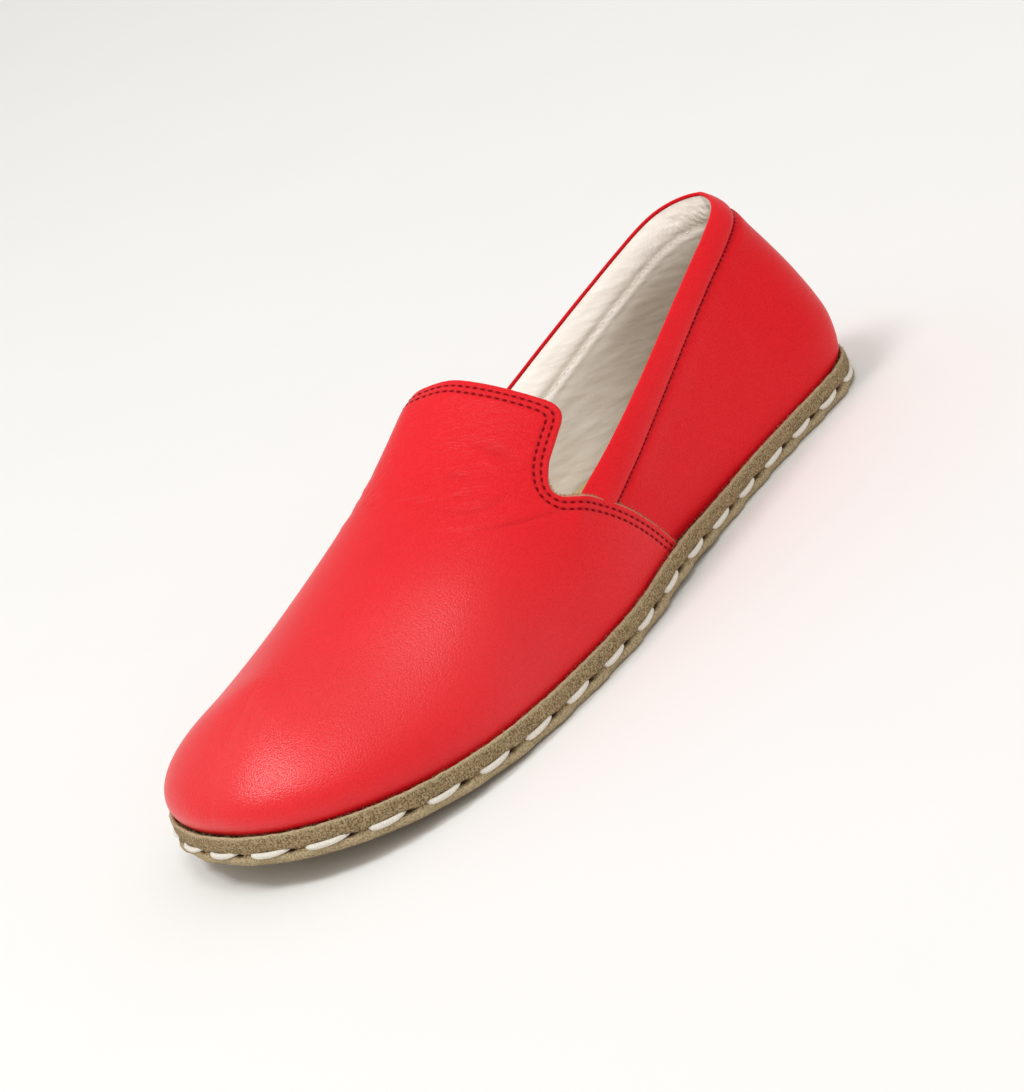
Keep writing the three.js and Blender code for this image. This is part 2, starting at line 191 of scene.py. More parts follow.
# %% The last as a surface
FOOT_BLEND = 12  # over a twelfth of a rib the normal leaves the sole's own direction
RIDGE_FROM, RIDGE_SPAN = 0.97, 0.03  # and over this last share it turns to the ridge's own
EDGE_OUT = 0.1  # how far the sole's edge stands out of the outline


def rib(turn):
    walk = walk_of_turn(turn)
    base = edge_point(turn, tuck(walk), SEAT + FIT_GAP)
    top_x = np.clip(place_of(walk), HEEL_POLE * LENGTH, TOE_POLE * LENGTH)
    at = walk_of(top_x / LENGTH)
    top = np.stack([top_x, (lateral(at) - medial(at)) / 2 + ridge(at), crown(at)], -1)
    slope = crown(walk_of((top_x + 0.5) / LENGTH)) - crown(walk_of((top_x - 0.5) / LENGTH))
    reach = base[..., :2] - top[..., :2]
    low = base.copy()
    low[..., :2] += unit(reach) * bulge(walk)[..., None]
    low[..., 2] += rise(walk) * (top[..., 2] - base[..., 2])
    handle = reach * shoulder(walk)[..., None]
    high = top + np.stack([handle[..., 0], handle[..., 1], slope * handle[..., 0]], -1)
    return base, low, high, top, slope


def last_point(turn, up):
    base, low, high, top, _ = rib(turn)
    u = np.asarray(up)[..., None]
    return (1 - u)**3 * base + 3 * (1 - u)**2 * u * low + 3 * (1 - u) * u**2 * high + u**3 * top


def last_normal(turn, up):
    base, low, high, top, slope = rib(turn)
    u = np.asarray(up)[..., None]
    climb = (1 - u)**2 * (low - base) + 2 * (1 - u) * u * (high - low) + u**2 * (top - high)
    along = last_point(turn + SMALL, up) - last_point(turn - SMALL, up)
    out = outward(turn)
    at_foot = np.stack([out[..., 0], out[..., 1], lift(base[..., 0] + out[..., 0]) - lift(base[..., 0])], -1)
    at_top = np.stack([-slope, np.zeros_like(slope), np.ones_like(slope)], -1)
    foot_share = np.clip(1 - FOOT_BLEND * u, 0, 1)
    top_share = np.clip((u - RIDGE_FROM) / RIDGE_SPAN, 0, 1)
    middle = unit(np.cross(climb, along)) * (1 - foot_share) * (1 - top_share)
    return unit(middle + unit(at_foot) * foot_share + unit(at_top) * top_share)


def raised(turn, up, offset):
    return last_point(turn, up) + last_normal(turn, up) * np.asarray(offset)[..., None]


turn_ring = np.linspace(0, 2, 2001)
edge_low = edge_point(turn_ring, -EDGE_OUT, 0.0).min(axis=0)
sole_low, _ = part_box("outsole")
SHIFT = np.array([sole_low[0] * MM - edge_low[0], sole_low[1] * MM - edge_low[1], 0.0])
print("from the heel's back to the frame's origin:", np.round(SHIFT, 2), "mm")

# %% [markdown]
# ## Small tools for meshes
# A mesh is a list of points and a list of faces. These helpers turn millimetres of the last into metres of
# the frame, hang numbers on the points that a material can read later, and give each piece its place on the
# body. Many pieces are a grid of points, so one helper makes the faces of any grid.

# %% Tools for meshes
def to_frame(points):
    return (np.asarray(points) + SHIFT) / MM


def make_piece(name, points, faces, material, numbers=None):
    """A smooth mesh object that rides on the shoe, with named numbers on its points."""
    mesh = bpy.data.meshes.new(name)
    mesh.from_pydata(to_frame(points).tolist(), [], faces)
    mesh.shade_smooth()
    for label, values in (numbers or {}).items():
        store = mesh.attributes.new(label, "FLOAT", "POINT")
        store.data.foreach_set("value", np.asarray(values, dtype=np.float32))
    mesh.materials.append(material)
    piece = bpy.data.objects.new(name, mesh)
    bpy.context.scene.collection.objects.link(piece)
    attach(piece, "root")
    triangles = sum(len(face) - 2 for face in faces)
    print(name, "has", len(points), "points and", triangles, "triangles")
    return piece


def grid_faces(columns, rows, first=0, loop_columns=False, loop_rows=False):
    """Faces between the neighbours in a grid of points, which may close on itself either way."""
    faces = []
    for i in range(columns if loop_columns else columns - 1):
        here, beside = first + i * rows, first + (i + 1) % columns * rows
        for j in range(rows if loop_rows else rows - 1):
            k = (j + 1) % rows
            faces.append([here + j, here + k, beside + k, beside + j])
    return faces


# %% [markdown]
# Lines of points come up everywhere: an edge, a crease, a row of stitches. These helpers measure a line, read
# values along it, and find the nearest point of a set. Noise, soft steps and humps shape the leather later.

# %% Tools for lines and noise
def bumps(points, size, seed):
    """Soft noise between about -1 and 1, with features of the given size in millimetres."""
    move = np.array([seed * 17.3, seed * 5.1, seed * 9.7])
    return np.array([noise.noise(Vector(p)) for p in (np.asarray(points) / size + move)])


def soft_step(value, low, high):
    share = np.clip((value - low) / (high - low), 0, 1)
    return share * share * (3 - 2 * share)


def hump(distance, width):
    return np.exp(-(distance / width)**2)


def tree_of(points):
    tree = KDTree(len(points))
    for index, point in enumerate(points):
        tree.insert(point, index)
    tree.balance()
    return tree


def nearest(tree, points):
    """Index of the nearest point of a tree, and the distance to it."""
    found = [tree.find(point) for point in points]
    return np.array([hit[1] for hit in found]), np.array([hit[2] for hit in found])


def along_line(line):
    """Distance run along a line of points."""
    steps = np.linalg.norm(np.diff(line, axis=0), axis=1)
    return np.concatenate([[0.0], np.cumsum(steps)])


def length_of(line):
    return float(along_line(line)[-1])


def read_along(places, run, values):
    """Columns of values known at runs of a line, read at other places of it."""
    return np.stack([np.interp(places, run, values[:, k]) for k in range(values.shape[1])], -1)


def resample(line, places):
    return read_along(places, along_line(line), line)


def evenly(line, step):
    return resample(line, np.arange(0, length_of(line), step))


# %% [markdown]
# ## Cutting a sheet
# Leather is cut from a flat hide along a drawn line. Here the line is drawn on the shoe seen from the side,
# as an outline in X and Z. A fine grid of the last is kept where it lies inside the outline, and the cells
# that the outline crosses are cut along it, so the edge is clean however coarse the grid is.

# %% Outlines
ARC_POINTS = 9  # of a rounded corner


def arc(start, bend, stop, count):
    """Points of a quadratic Bezier curve."""
    return [(1 - t)**2 * start + 2 * (1 - t) * t * bend + t**2 * stop for t in np.linspace(0, 1, count)]


def rounded(corners):
    """A line through corners of x, z and rounding."""
    line = [np.array(corners[0][:2], dtype=float)]
    for i in range(1, len(corners) - 1):
        here, after = (np.array(corner[:2], dtype=float) for corner in corners[i:i + 2])
        radius = corners[i][2]
        if radius == 0:
            line.append(here)
            continue
        start = here + unit(line[-1] - here) * radius
        stop = here + unit(after - here) * radius
        line.extend(arc(start, here, stop, ARC_POINTS))
    line.append(np.array(corners[-1][:2], dtype=float))
    return np.array(line)


def inside(shape, points):
    """Distance to a closed outline seen from the side, positive inside it."""
    x, z = points[..., 0], points[..., 2]
    near = np.full(x.shape, np.inf)
    odd = np.zeros(x.shape, dtype=bool)
    for (x0, z0), (x1, z1) in zip(shape, np.roll(shape, -1, axis=0)):
        run_x, run_z = x1 - x0, z1 - z0
        t = np.clip(((x - x0) * run_x + (z - z0) * run_z) / (run_x**2 + run_z**2), 0, 1)
        near = np.minimum(near, np.hypot(x - x0 - t * run_x, z - z0 - t * run_z))
        if run_z != 0:
            odd ^= ((z0 > z) != (z1 > z)) & (x < x0 + (z - z0) * run_x / run_z)
    return np.where(odd, near, -near)


# %% [markdown]
# A cell of the grid lies inside the outline, outside it, or across it. A crossed cell gets new points where
# its sides meet the outline, each made once and shared with the neighbour. Then points that lie in one place
# are joined, because the ribs of heel and toe run together at the top.

# %% Sheets cut from the last
def cut_sheet(turns, ups, offset, keep, closed=False):
    """Points, normals, faces and cut rim of the last's grid at an offset, where keep is positive."""
    turn, up = np.meshgrid(turns, ups, indexing="ij")
    value = keep(raised(turn, up, offset))
    columns, rows = turn.shape
    places = [(turn[a], up[a]) for a in np.ndindex(columns, rows)]
    crossings = {}

    def crossing(a, b):
        key = (min(a, b), max(a, b))
        if key not in crossings:
            first, second = key
            share = value[first] / (value[first] - value[second])
            run = turn[second] - turn[first]
            if closed:
                run = (run + 1) % 2 - 1
            crossings[key] = len(places)
            places.append((turn[first] + share * run, up[first] + share * (up[second] - up[first])))
        return crossings[key]

    faces = []
    for i in range(columns if closed else columns - 1):
        for j in range(rows - 1):
            k = (i + 1) % columns
            corners = [(i, j), (i, j + 1), (k, j + 1), (k, j)]
            face = []
            for a, b in zip(corners, corners[1:] + corners[:1]):
                if value[a] > 0:
                    face.append(a[0] * rows + a[1])
                if (value[a] > 0) != (value[b] > 0):
                    face.append(crossing(a, b))
            if len(face) > 2:
                faces.append(face)

    places = np.array(places)
    points, normals = last_point(places[:, 0], places[:, 1]), last_normal(places[:, 0], places[:, 1])
    is_cut = np.arange(len(places)) >= columns * rows
    return weld(points, normals, faces, is_cut)


def weld(points, normals, faces, is_cut):
    """Joins points in one place, drops unused ones and collapsed faces, and finds the cut rim."""
    used = np.unique(np.concatenate([np.array(face) for face in faces]))
    _, first, to = np.unique(np.round(points[used], 4), axis=0, return_index=True, return_inverse=True)
    new = np.full(len(points), -1)
    new[used] = to.ravel()
    kept = used[first]
    joined = []
    for face in faces:
        ring = [int(new[a]) for a in face]
        ring = [a for a, b in zip(ring, ring[1:] + ring[:1]) if a != b]
        if len(ring) > 2:
            joined.append(ring)
    cut = np.zeros(len(kept), dtype=bool)
    np.logical_or.at(cut, to.ravel(), is_cut[used])
    return points[kept], normals[kept], joined, rim_of(joined, cut)


# %% [markdown]
# The cut leaves a rim: edges that belong to one face only. It is walked from point to point, and at each
# point the direction out of the sheet is found. Rings of new points can then grow out of the rim, and they
# give the thin sheet a folded edge or a raw one.

# %% Rims of a sheet
def rim_of(faces, is_cut):
    """The longest cut edge of a sheet: its points in order, with the sheet on their left."""
    edges = {(a, b) for face in faces for a, b in zip(face, face[1:] + face[:1])}
    step = {a: b for a, b in edges if (b, a) not in edges and is_cut[a] and is_cut[b]}
    rims = []
    starts = [a for a in step if a not in set(step.values())] or list(step)[:1]
    for start in starts:
        rim = [start]
        while rim[-1] in step and step[rim[-1]] != start:
            rim.append(step[rim[-1]])
        rims.append(rim)
    return max(rims, key=len)


def edge_frame(points, normals, rim, closed=False, reach=0.8):
    """Direction out of a sheet at each point of its rim."""
    line = points[rim]
    if closed:
        line = np.vstack([line, line[:1]])
    run = along_line(line)
    places = run[:len(rim)]
    if closed:
        line = np.vstack([line[:-1], line[:-1], line])
        run = along_line(line)
        places = places + run[len(rim)]
    ahead, behind = resample(line, places + reach), resample(line, places - reach)
    return unit(np.cross(unit(ahead - behind), normals[rim]))


def add_rings(points, faces, rim, rings, closed=False):
    """Grows rings of points out of a rim, and faces between them."""
    points = [points]
    start = len(points[0])
    before = list(rim)
    for ring in rings:
        points.append(ring)
        now = list(range(start, start + len(rim)))
        start += len(rim)
        for i in range(len(rim) if closed else len(rim) - 1):
            k = (i + 1) % len(rim)
            faces.append([before[k], before[i], now[i], now[k]])
        before = now
    return np.vstack(points)


# %% [markdown]
# ## Camera and light
# The photograph looks down on the outer side from the front, and the shoe is set up on its toe. Here it
# stands flat, so the camera is rolled by the same angle instead. A long lens far away keeps the sides of the
# shoe nearly parallel.

# %% Camera
CAMERA_PLACE = (703.4, 664.2, 388.0)
CAMERA_AIM = (140.6, -1.6, 24.1)
CAMERA_ROLL = math.radians(-24.2)
LENS, SENSOR = 111.96, 36.0


def look(place, aim, roll=0.0):
    """Placing matrix of a lamp or camera at a place of the shoe, turned to an aim."""
    place, aim = (Vector(to_frame(point)) for point in (place, aim))
    back = (place - aim).normalized()
    side = Vector((0, 0, 1)).cross(back).normalized()
    over = back.cross(side)
    right = math.cos(roll) * side + math.sin(roll) * over
    turned = Matrix((right, back.cross(right), back)).transposed().to_4x4()
    return Matrix.Translation(place) @ turned


scene = bpy.context.scene
scene.view_settings.view_transform = "Standard"
camera_data = bpy.data.cameras.new("camera")
camera_data.lens = LENS
camera_data.sensor_width = SENSOR
camera = bpy.data.objects.new("camera", camera_data)
camera.matrix_world = look(CAMERA_PLACE, CAMERA_AIM, CAMERA_ROLL)
scene.collection.objects.link(camera)
scene.camera = camera
print("camera", np.round(camera.location, 3), "lens", LENS)

# %% [markdown]
# A pale world gives most of the light, a softbox hangs high over the camera's side, and a smaller lamp beyond
# the toe puts the satin gloss on it. The inside of a shoe is always dark, so one more lamp is linked to the
# lining, its seam and the insole only.

# %% Light
def add_lamp(name, place, aim, size, power):
    data = bpy.data.lights.new(name, "AREA")
    data.size = size
    data.energy = power
    lamp = bpy.data.objects.new(name, data)
    lamp.matrix_world = look(place, aim)
    scene.collection.objects.link(lamp)
    return lamp


add_lamp("softbox_overhead", (640, 900, 2950), (180, 0, 30), size=1.0, power=16.0)
add_lamp("lamp_over_toe", (1010, -320, 1850), (230, 0, 30), size=0.50, power=15.0)
lamp_inside = add_lamp("lamp_inside", (395, 628, 620), (60, -20, 55), size=0.25, power=6.4)
inside_only = bpy.data.collections.new("lit_inside")
lamp_inside.light_linking.receiver_collection = inside_only

world = bpy.data.worlds.new("studio")
world.use_nodes = True
background = world.node_tree.nodes["Background"]
background.inputs["Color"].default_value = (1.0, 0.99, 0.97, 1)
background.inputs["Strength"].default_value = 0.67
scene.world = world
print("lamps:", [lamp.name for lamp in bpy.data.lights])

# %% [markdown]
# ## Small tools for materials
# A node takes values or the outputs of other nodes. These helpers keep the node code to one line a node, and
# colours are given as they look on a screen, in steps of 0 to 255.

# %% Tools for materials
def colour(red, green, blue):
    steps = np.array([red, green, blue]) / 255
    linear = np.where(steps <= 0.04045, steps / 12.92, ((steps + 0.055) / 1.055)**2.4)
    return (*linear.tolist(), 1.0)


def feed(tree, socket, value):
    if isinstance(value, bpy.types.NodeSocket):
        tree.links.new(value, socket)
    else:
        socket.default_value = value


def add_node(tree, kind, inputs=None, **settings):
    made = tree.nodes.new("ShaderNode" + kind)
    for name, value in settings.items():
        setattr(made, name, value)
    for name, value in (inputs or {}).items():
        feed(tree, made.inputs[name], value)
    return made


def connect(tree, shader, **sockets):
    """Feeds sockets of a shader, whose names are written with underscores for blanks."""
    for name, value in sockets.items():
        feed(tree, shader.inputs[name.replace("_", " ")], value)


def new_material(name, **sockets):
    """An empty material, its tree, its shader, and coordinates in metres of the shoe."""
    material = bpy.data.materials.new(name)
    material.use_nodes = True
    tree = material.node_tree
    shader = tree.nodes["Principled BSDF"]
    connect(tree, shader, **sockets)
    return material, tree, shader, tree.nodes.new("ShaderNodeTexCoord").outputs["Object"]


# %% [markdown]
# The textures are noise in three dimensions, so nothing has to be wrapped round the shoe. Noise is drawn out,
# mixed, or turned into a bump, and the numbers on a mesh's points say where it acts.

# %% Textures and mixing
def stretched(tree, place, turn, scale):
    """Coordinates turned and then drawn out along their own axes, so that a noise in them is long."""
    inputs = {"Vector": place, "Rotation": turn, "Scale": scale}
    return add_node(tree, "Mapping", inputs, vector_type="TEXTURE").outputs["Vector"]


def grains(tree, place, size, detail=2.0, rough=0.5, distortion=0.0):
    """Noise with features of a size in millimetres."""
    inputs = {"Vector": place, "Scale": MM / size, "Detail": detail, "Roughness": rough,
              "Distortion": distortion}
    return add_node(tree, "TexNoise", inputs).outputs["Fac"]


def pebbles(tree, place, size):
    inputs = {"Vector": place, "Scale": MM / size}
    return add_node(tree, "TexVoronoi", inputs, feature="F1").outputs["Distance"]


def number(tree, label):
    return add_node(tree, "Attribute", attribute_name=label).outputs["Fac"]


def math_of(tree, operation, first, second=0.0):
    made = add_node(tree, "Math", operation=operation)
    feed(tree, made.inputs[0], first)
    feed(tree, made.inputs[1], second)
    return made.outputs[0]


def spread(tree, value, low, high, to_low=0.0, to_high=1.0):
    inputs = {"Value": value, "From Min": low, "From Max": high, "To Min": to_low, "To Max": to_high}
    return add_node(tree, "MapRange", inputs).outputs["Result"]


def drawn_out(tree, grain, to_low=0.0, to_high=1.0):
    """Noise hardly leaves 0.3 to 0.7, and this draws it out to a full range."""
    return spread(tree, grain, 0.3, 0.7, to_low, to_high)


MIX_SOCKETS = (0, 6, 7)  # factor and the two colours, of the sockets that a Mix node has for every type


def mixed(tree, share, first, second):
    made = add_node(tree, "Mix", data_type="RGBA")
    for socket, value in zip(MIX_SOCKETS, (share, first, second)):
        feed(tree, made.inputs[socket], value)
    return made.outputs[2]


def bump(tree, height, depth, under=None):
    """A bump whose full height is a depth in millimetres, over another bump."""
    made = add_node(tree, "Bump", {"Height": height, "Distance": depth / MM, "Strength": 1.0})
    if under is not None:
        tree.links.new(under, made.inputs["Normal"])
    return made.outputs["Normal"]


# %% [markdown]
# ## The floor
# The shoe stands on a large sheet of pale paper, which also throws light up at its sides.

# %% Floor
FLOOR_HALF = 6.0
floor_material, tree, shader, place = new_material("floor_paper", Roughness=0.9)
paper = mixed(tree, grains(tree, place, 60), colour(239, 238, 236), colour(241, 240, 238))
connect(tree, shader, Base_Color=paper)
floor_mesh = bpy.data.meshes.new("floor")
floor_corners = [(FLOOR_HALF * x, FLOOR_HALF * y, 0) for x, y in ((-1, -1), (1, -1), (1, 1), (-1, 1))]
floor_mesh.from_pydata(floor_corners, [], [(0, 1, 2, 3)])
floor_mesh.materials.append(floor_material)
floor = bpy.data.objects.new("floor", floor_mesh)
scene.collection.objects.link(floor)
print("floor of", 2 * FLOOR_HALF, "m")

# %% [markdown]
# ## Materials of the leathers
# The upper is smooth full-grain calf, dyed red: fine pebbles, a satin gloss, and a slightly uneven dye. The
# vamp is buffed to more of a shine than the quarter, most of all at the toe, so its coat follows a number on
# its points. The number dark paints shade into the colour, in the grooves beside a seam and in the troughs
# of creases and ditches. Other numbers bare the raw leather at a cut, and bring out the finest wrinkles where
# the foot bends the calf.

# %% Red calf
WRINKLE_TURN = (0.2, -0.25, -0.92)  # along the creases of the instep


def red_leather(name, shine, polish, buffed=0.0):
    """Red calf with a coat of polish, which the points' own number raises by buffed."""
    material, tree, shader, place = new_material(
        name, Roughness=0.36, Specular_IOR_Level=shine, Coat_Roughness=0.32, Coat_Weight=polish)
    if buffed > 0:
        coat = spread(tree, number(tree, "buffed"), 0.0, 1.0, polish, polish + buffed)
        connect(tree, shader, Coat_Weight=coat)
    cells = pebbles(tree, place, 0.50)
    pores = grains(tree, place, 0.30, 3.0)
    clouds = grains(tree, place, 34, 3.0)
    dye_and_shade = mixed(tree, drawn_out(tree, clouds), colour(231, 24, 34), colour(238, 28, 38))
    dye_and_shade = mixed(tree, spread(tree, cells, 0.30, 0.80, 0.0, 0.40), dye_and_shade, colour(204, 12, 24))
    # Painted shade: the number dark darkens the red in grooves beside seams, in crease troughs and in
    # ditches.
    dye_and_shade = mixed(tree, number(tree, "dark"), dye_and_shade, colour(104, 4, 14))
    dye_and_shade = mixed(tree, number(tree, "raw"), dye_and_shade, colour(200, 142, 112))

    lines = grains(tree, stretched(tree, place, WRINKLE_TURN, (5.0, 1.0, 1.0)), 1.5, 2.0, 0.5, 0.4)
    waves = grains(tree, stretched(tree, place, WRINKLE_TURN, (3.2, 1.0, 1.0)), 3.6, 3.0, 0.6, 0.5)
    from_middle = math_of(tree, "ABSOLUTE", math_of(tree, "SUBTRACT", waves, 0.5))
    hairlines = spread(tree, from_middle, 0.0, 0.05, -1.0, 0.0)
    fine = number(tree, "fine")
    soft = bump(tree, grains(tree, place, 6.0, 2.0), 0.05)
    soft = bump(tree, math_of(tree, "MULTIPLY", lines, fine), 0.40, soft)
    soft = bump(tree, math_of(tree, "MULTIPLY", hairlines, fine), 0.07, soft)
    soft = bump(tree, math_of(tree, "MULTIPLY", cells, -1.0), 0.080, soft)
    soft = bump(tree, pores, 0.03, soft)
    dull = drawn_out(tree, pores, 0.33, 0.42)
    connect(tree, shader, Base_Color=dye_and_shade, Roughness=dull, Normal=soft, Coat_Normal=soft)
    return material


vamp_leather = red_leather("buffed_red_calf", 0.07, 0.24, 0.76)
band_leather = red_leather("folded_red_calf", 0.07, 0.16)
quarter_leather = red_leather("plain_red_calf", 0.05, 0.10)
print("nodes in the vamp's leather:", len(vamp_leather.node_tree.nodes))

# %% [markdown]
# The lining is pale undyed leather with long soft wrinkles, and the sock on the insole is vegetable tanned
# hide. Both are matt. Their noise is drawn out along the foot, which makes the wrinkles long. The troughs of
# the wrinkles are darkened as painted shade, and a number on the points paints shade into what lies deep
# inside.

# %% Lining and insole leather
LINING_CLIMB = 0.26  # angle at which the wrinkles inside climb to the toe
LINING_TURN = (0.0, -LINING_CLIMB, 0.0)


def pale_leather(name, light, deep, wrinkle):
    material, tree, shader, place = new_material(name, Roughness=0.6)
    folds = grains(tree, stretched(tree, place, LINING_TURN, (4.2, 1.6, 1.0)), 2.8, 1.0, 0.4, 0.2)
    pores = grains(tree, place, 0.5, 3.0)
    tint = mixed(tree, drawn_out(tree, grains(tree, place, 30, 2.0)), light, deep)
    # Painted shade: the troughs of the folds take the deeper colour.
    tint = mixed(tree, spread(tree, folds, 0.5, 0.3, 0.0, 0.30), tint, deep)
    # Painted shade: the number dark darkens what lies deep inside the shoe.
    tint = mixed(tree, number(tree, "dark"), tint, colour(124, 100, 70))
    soft = bump(tree, pores, 0.05, bump(tree, folds, wrinkle))
    connect(tree, shader, Base_Color=tint, Roughness=drawn_out(tree, pores, 0.48, 0.7), Normal=soft)
    return material


lining_leather = pale_leather("pale_lining", colour(247, 242, 236), colour(236, 228, 218), 0.42)
insole_leather = pale_leather("insole_hide", colour(178, 160, 116), colour(154, 136, 94), 0.12)
print("pale leathers:", lining_leather.name, "and", insole_leather.name)

# %% [markdown]
# The sole is thick leather whose cut edge is rough as suede. A fine noise makes its nap and a coarser one its
# grit. Worn places come out paler, and deep ones darker as painted shade.

# %% Sole leather
def sole_edge_leather(name):
    material, tree, shader, place = new_material(name, Roughness=0.95, Specular_IOR_Level=0.1)
    nap = grains(tree, place, 0.50, 3.0, 0.65)
    grit = grains(tree, place, 1.8, 3.0, 0.6)
    tint = mixed(tree, spread(tree, nap, 0.38, 0.62), colour(104, 84, 56), colour(190, 168, 130))
    tint = mixed(tree, spread(tree, grit, 0.40, 0.65, 0.0, 0.35), tint, colour(122, 101, 70))
    worn = math_of(tree, "MULTIPLY", number(tree, "worn"), spread(tree, nap, 0.3, 0.55, 0.35, 1.0))
    tint = mixed(tree, worn, tint, colour(198, 180, 144))
    # Painted shade: the number dark darkens the ledge and the channel.
    tint = mixed(tree, number(tree, "dark"), tint, colour(84, 58, 40))
    soft = bump(tree, nap, 0.30, bump(tree, grit, 0.25))
    connect(tree, shader, Base_Color=tint, Roughness=drawn_out(tree, nap, 0.85, 1.0), Normal=soft)
    return material


sole_leather = sole_edge_leather("sole_hide")
print("leather of the sole:", sole_leather.name)

# %% [markdown]
# Waxed thread and loose fibres share one recipe: two close colours, mixed by strands that are finer than the
# thread itself.

# %% Thread and fibre
def thread(name, light, deep, strand):
    material, tree, shader, place = new_material(name, Roughness=0.8, Specular_IOR_Level=0.06)
    strands = grains(tree, place, strand, 3.0, 0.6)
    tint = mixed(tree, drawn_out(tree, strands), deep, light)
    dull = drawn_out(tree, strands, 0.6, 0.85)
    connect(tree, shader, Base_Color=tint, Roughness=dull, Normal=bump(tree, strands, 0.10))
    return material


white_thread = thread("white_thread", colour(240, 235, 226), colour(214, 206, 190), 0.5)
red_thread = thread("dark_red_thread", colour(158, 8, 22), colour(112, 5, 14), 0.3)
pale_thread = thread("pale_thread", colour(226, 217, 203), colour(204, 193, 174), 0.3)
raw_fibre = thread("raw_calf_fibre", colour(206, 150, 122), colour(168, 92, 76), 0.4)
sole_fibre = thread("sole_hide_fibre", colour(196, 178, 140), colour(140, 118, 84), 0.4)
print("materials:", [material.name for material in bpy.data.materials])

# %% [markdown]
# ## The vamp
# The vamp is one piece of calf over the toe and instep. It ends in a tongue, with a notch on each side, and
# laps over the quarter behind. Its grid is cut along the line drawn here, and the end of the tongue slants
# forward over the inner side. Where the foot bends the calf, the grid is finer, so that it can hold creases.

# %% Vamp outline
SEAM_FOOT, SEAM_BEND = np.array([112.5, 4.0]), np.array([127.3, 31.0])
SEAM_TOP, SEAM_ROUND = np.array([140.0, 40.4]), 2.0
THROAT = [(148.2, 45.4, 4.0), (142.0, 50.6, 3.0), (124.6, 58.7, 5.0), (134.4, 78.0, 2.0)]
OVERHEAD, PAST_TOE, BEHIND_HEEL = 140, 400, -40  # outlines close well away from the shoe
TONGUE_TOP = (134.4, OVERHEAD, 0)
SLANT = 5.6  # how far the tongue's end runs forward
VAMP_BACK, VAMP_FINE = 104, 178  # where the grid starts, and where it becomes coarser
VAMP_TOP = 1.4  # outer face of the vamp over the last
EDGE_ROUND = 0.8
LINE_STEP = 0.3  # between the points of a dense line

seam = arc(SEAM_FOOT, SEAM_BEND, SEAM_TOP, 15)
seam_below = SEAM_FOOT - 0.4 * (SEAM_BEND - SEAM_FOOT)
vamp_corners = [(*point, 0) for point in (seam_below, *seam[:-1])]
vamp_corners += [(*SEAM_TOP, SEAM_ROUND), *THROAT, TONGUE_TOP]
vamp_shape = np.vstack([rounded(vamp_corners), [(PAST_TOE, OVERHEAD), (PAST_TOE, seam_below[1])]])


def swept_back(points):
    """Places moved back by the slant of the tongue's end, which runs forward over the inner side."""
    over = soft_step(-points[..., 1], 3.0, 27.0)
    on_end = soft_step(points[..., 2], 46.0, 57.0) * soft_step(points[..., 0], 108.0, 118.0)
    return points - (SLANT * over * on_end)[..., None] * (1, 0, 0)


def vamp_keep(points):
    return inside(vamp_shape, swept_back(points)) - EDGE_ROUND


back_walk, fine_walk = walk_of(VAMP_BACK / LENGTH), walk_of(VAMP_FINE / LENGTH)
vamp_walks = np.concatenate([np.linspace(back_walk, fine_walk, 165), np.linspace(fine_walk, 1, 130)[1:]])
vamp_turns = np.concatenate([vamp_walks, 2 - vamp_walks[-2::-1]])
vamp_ups = np.linspace(0, 1, 116)
vamp_points, vamp_normals, vamp_faces, vamp_rim = cut_sheet(vamp_turns, vamp_ups, VAMP_TOP, vamp_keep)
vamp_outer = vamp_points + vamp_normals * VAMP_TOP
vamp_rim_line = vamp_outer[vamp_rim]
rim_tree = tree_of(evenly(vamp_rim_line, LINE_STEP))
_, from_rim = nearest(rim_tree, vamp_outer)
from_edge = from_rim + EDGE_ROUND
print("edge of the vamp:", round(length_of(vamp_rim_line)), "mm long")

# %% [markdown]
# Calf keeps the folds of the foot. The main crease runs from the notch across the instep, and finer ones fan
# out above it. Each is a short line of places on the outer side, with a width and a height: troughs are
# negative and ridges positive. The last line here is not a crease: there the end of the collar's band lies
# under the vamp and pushes it out.

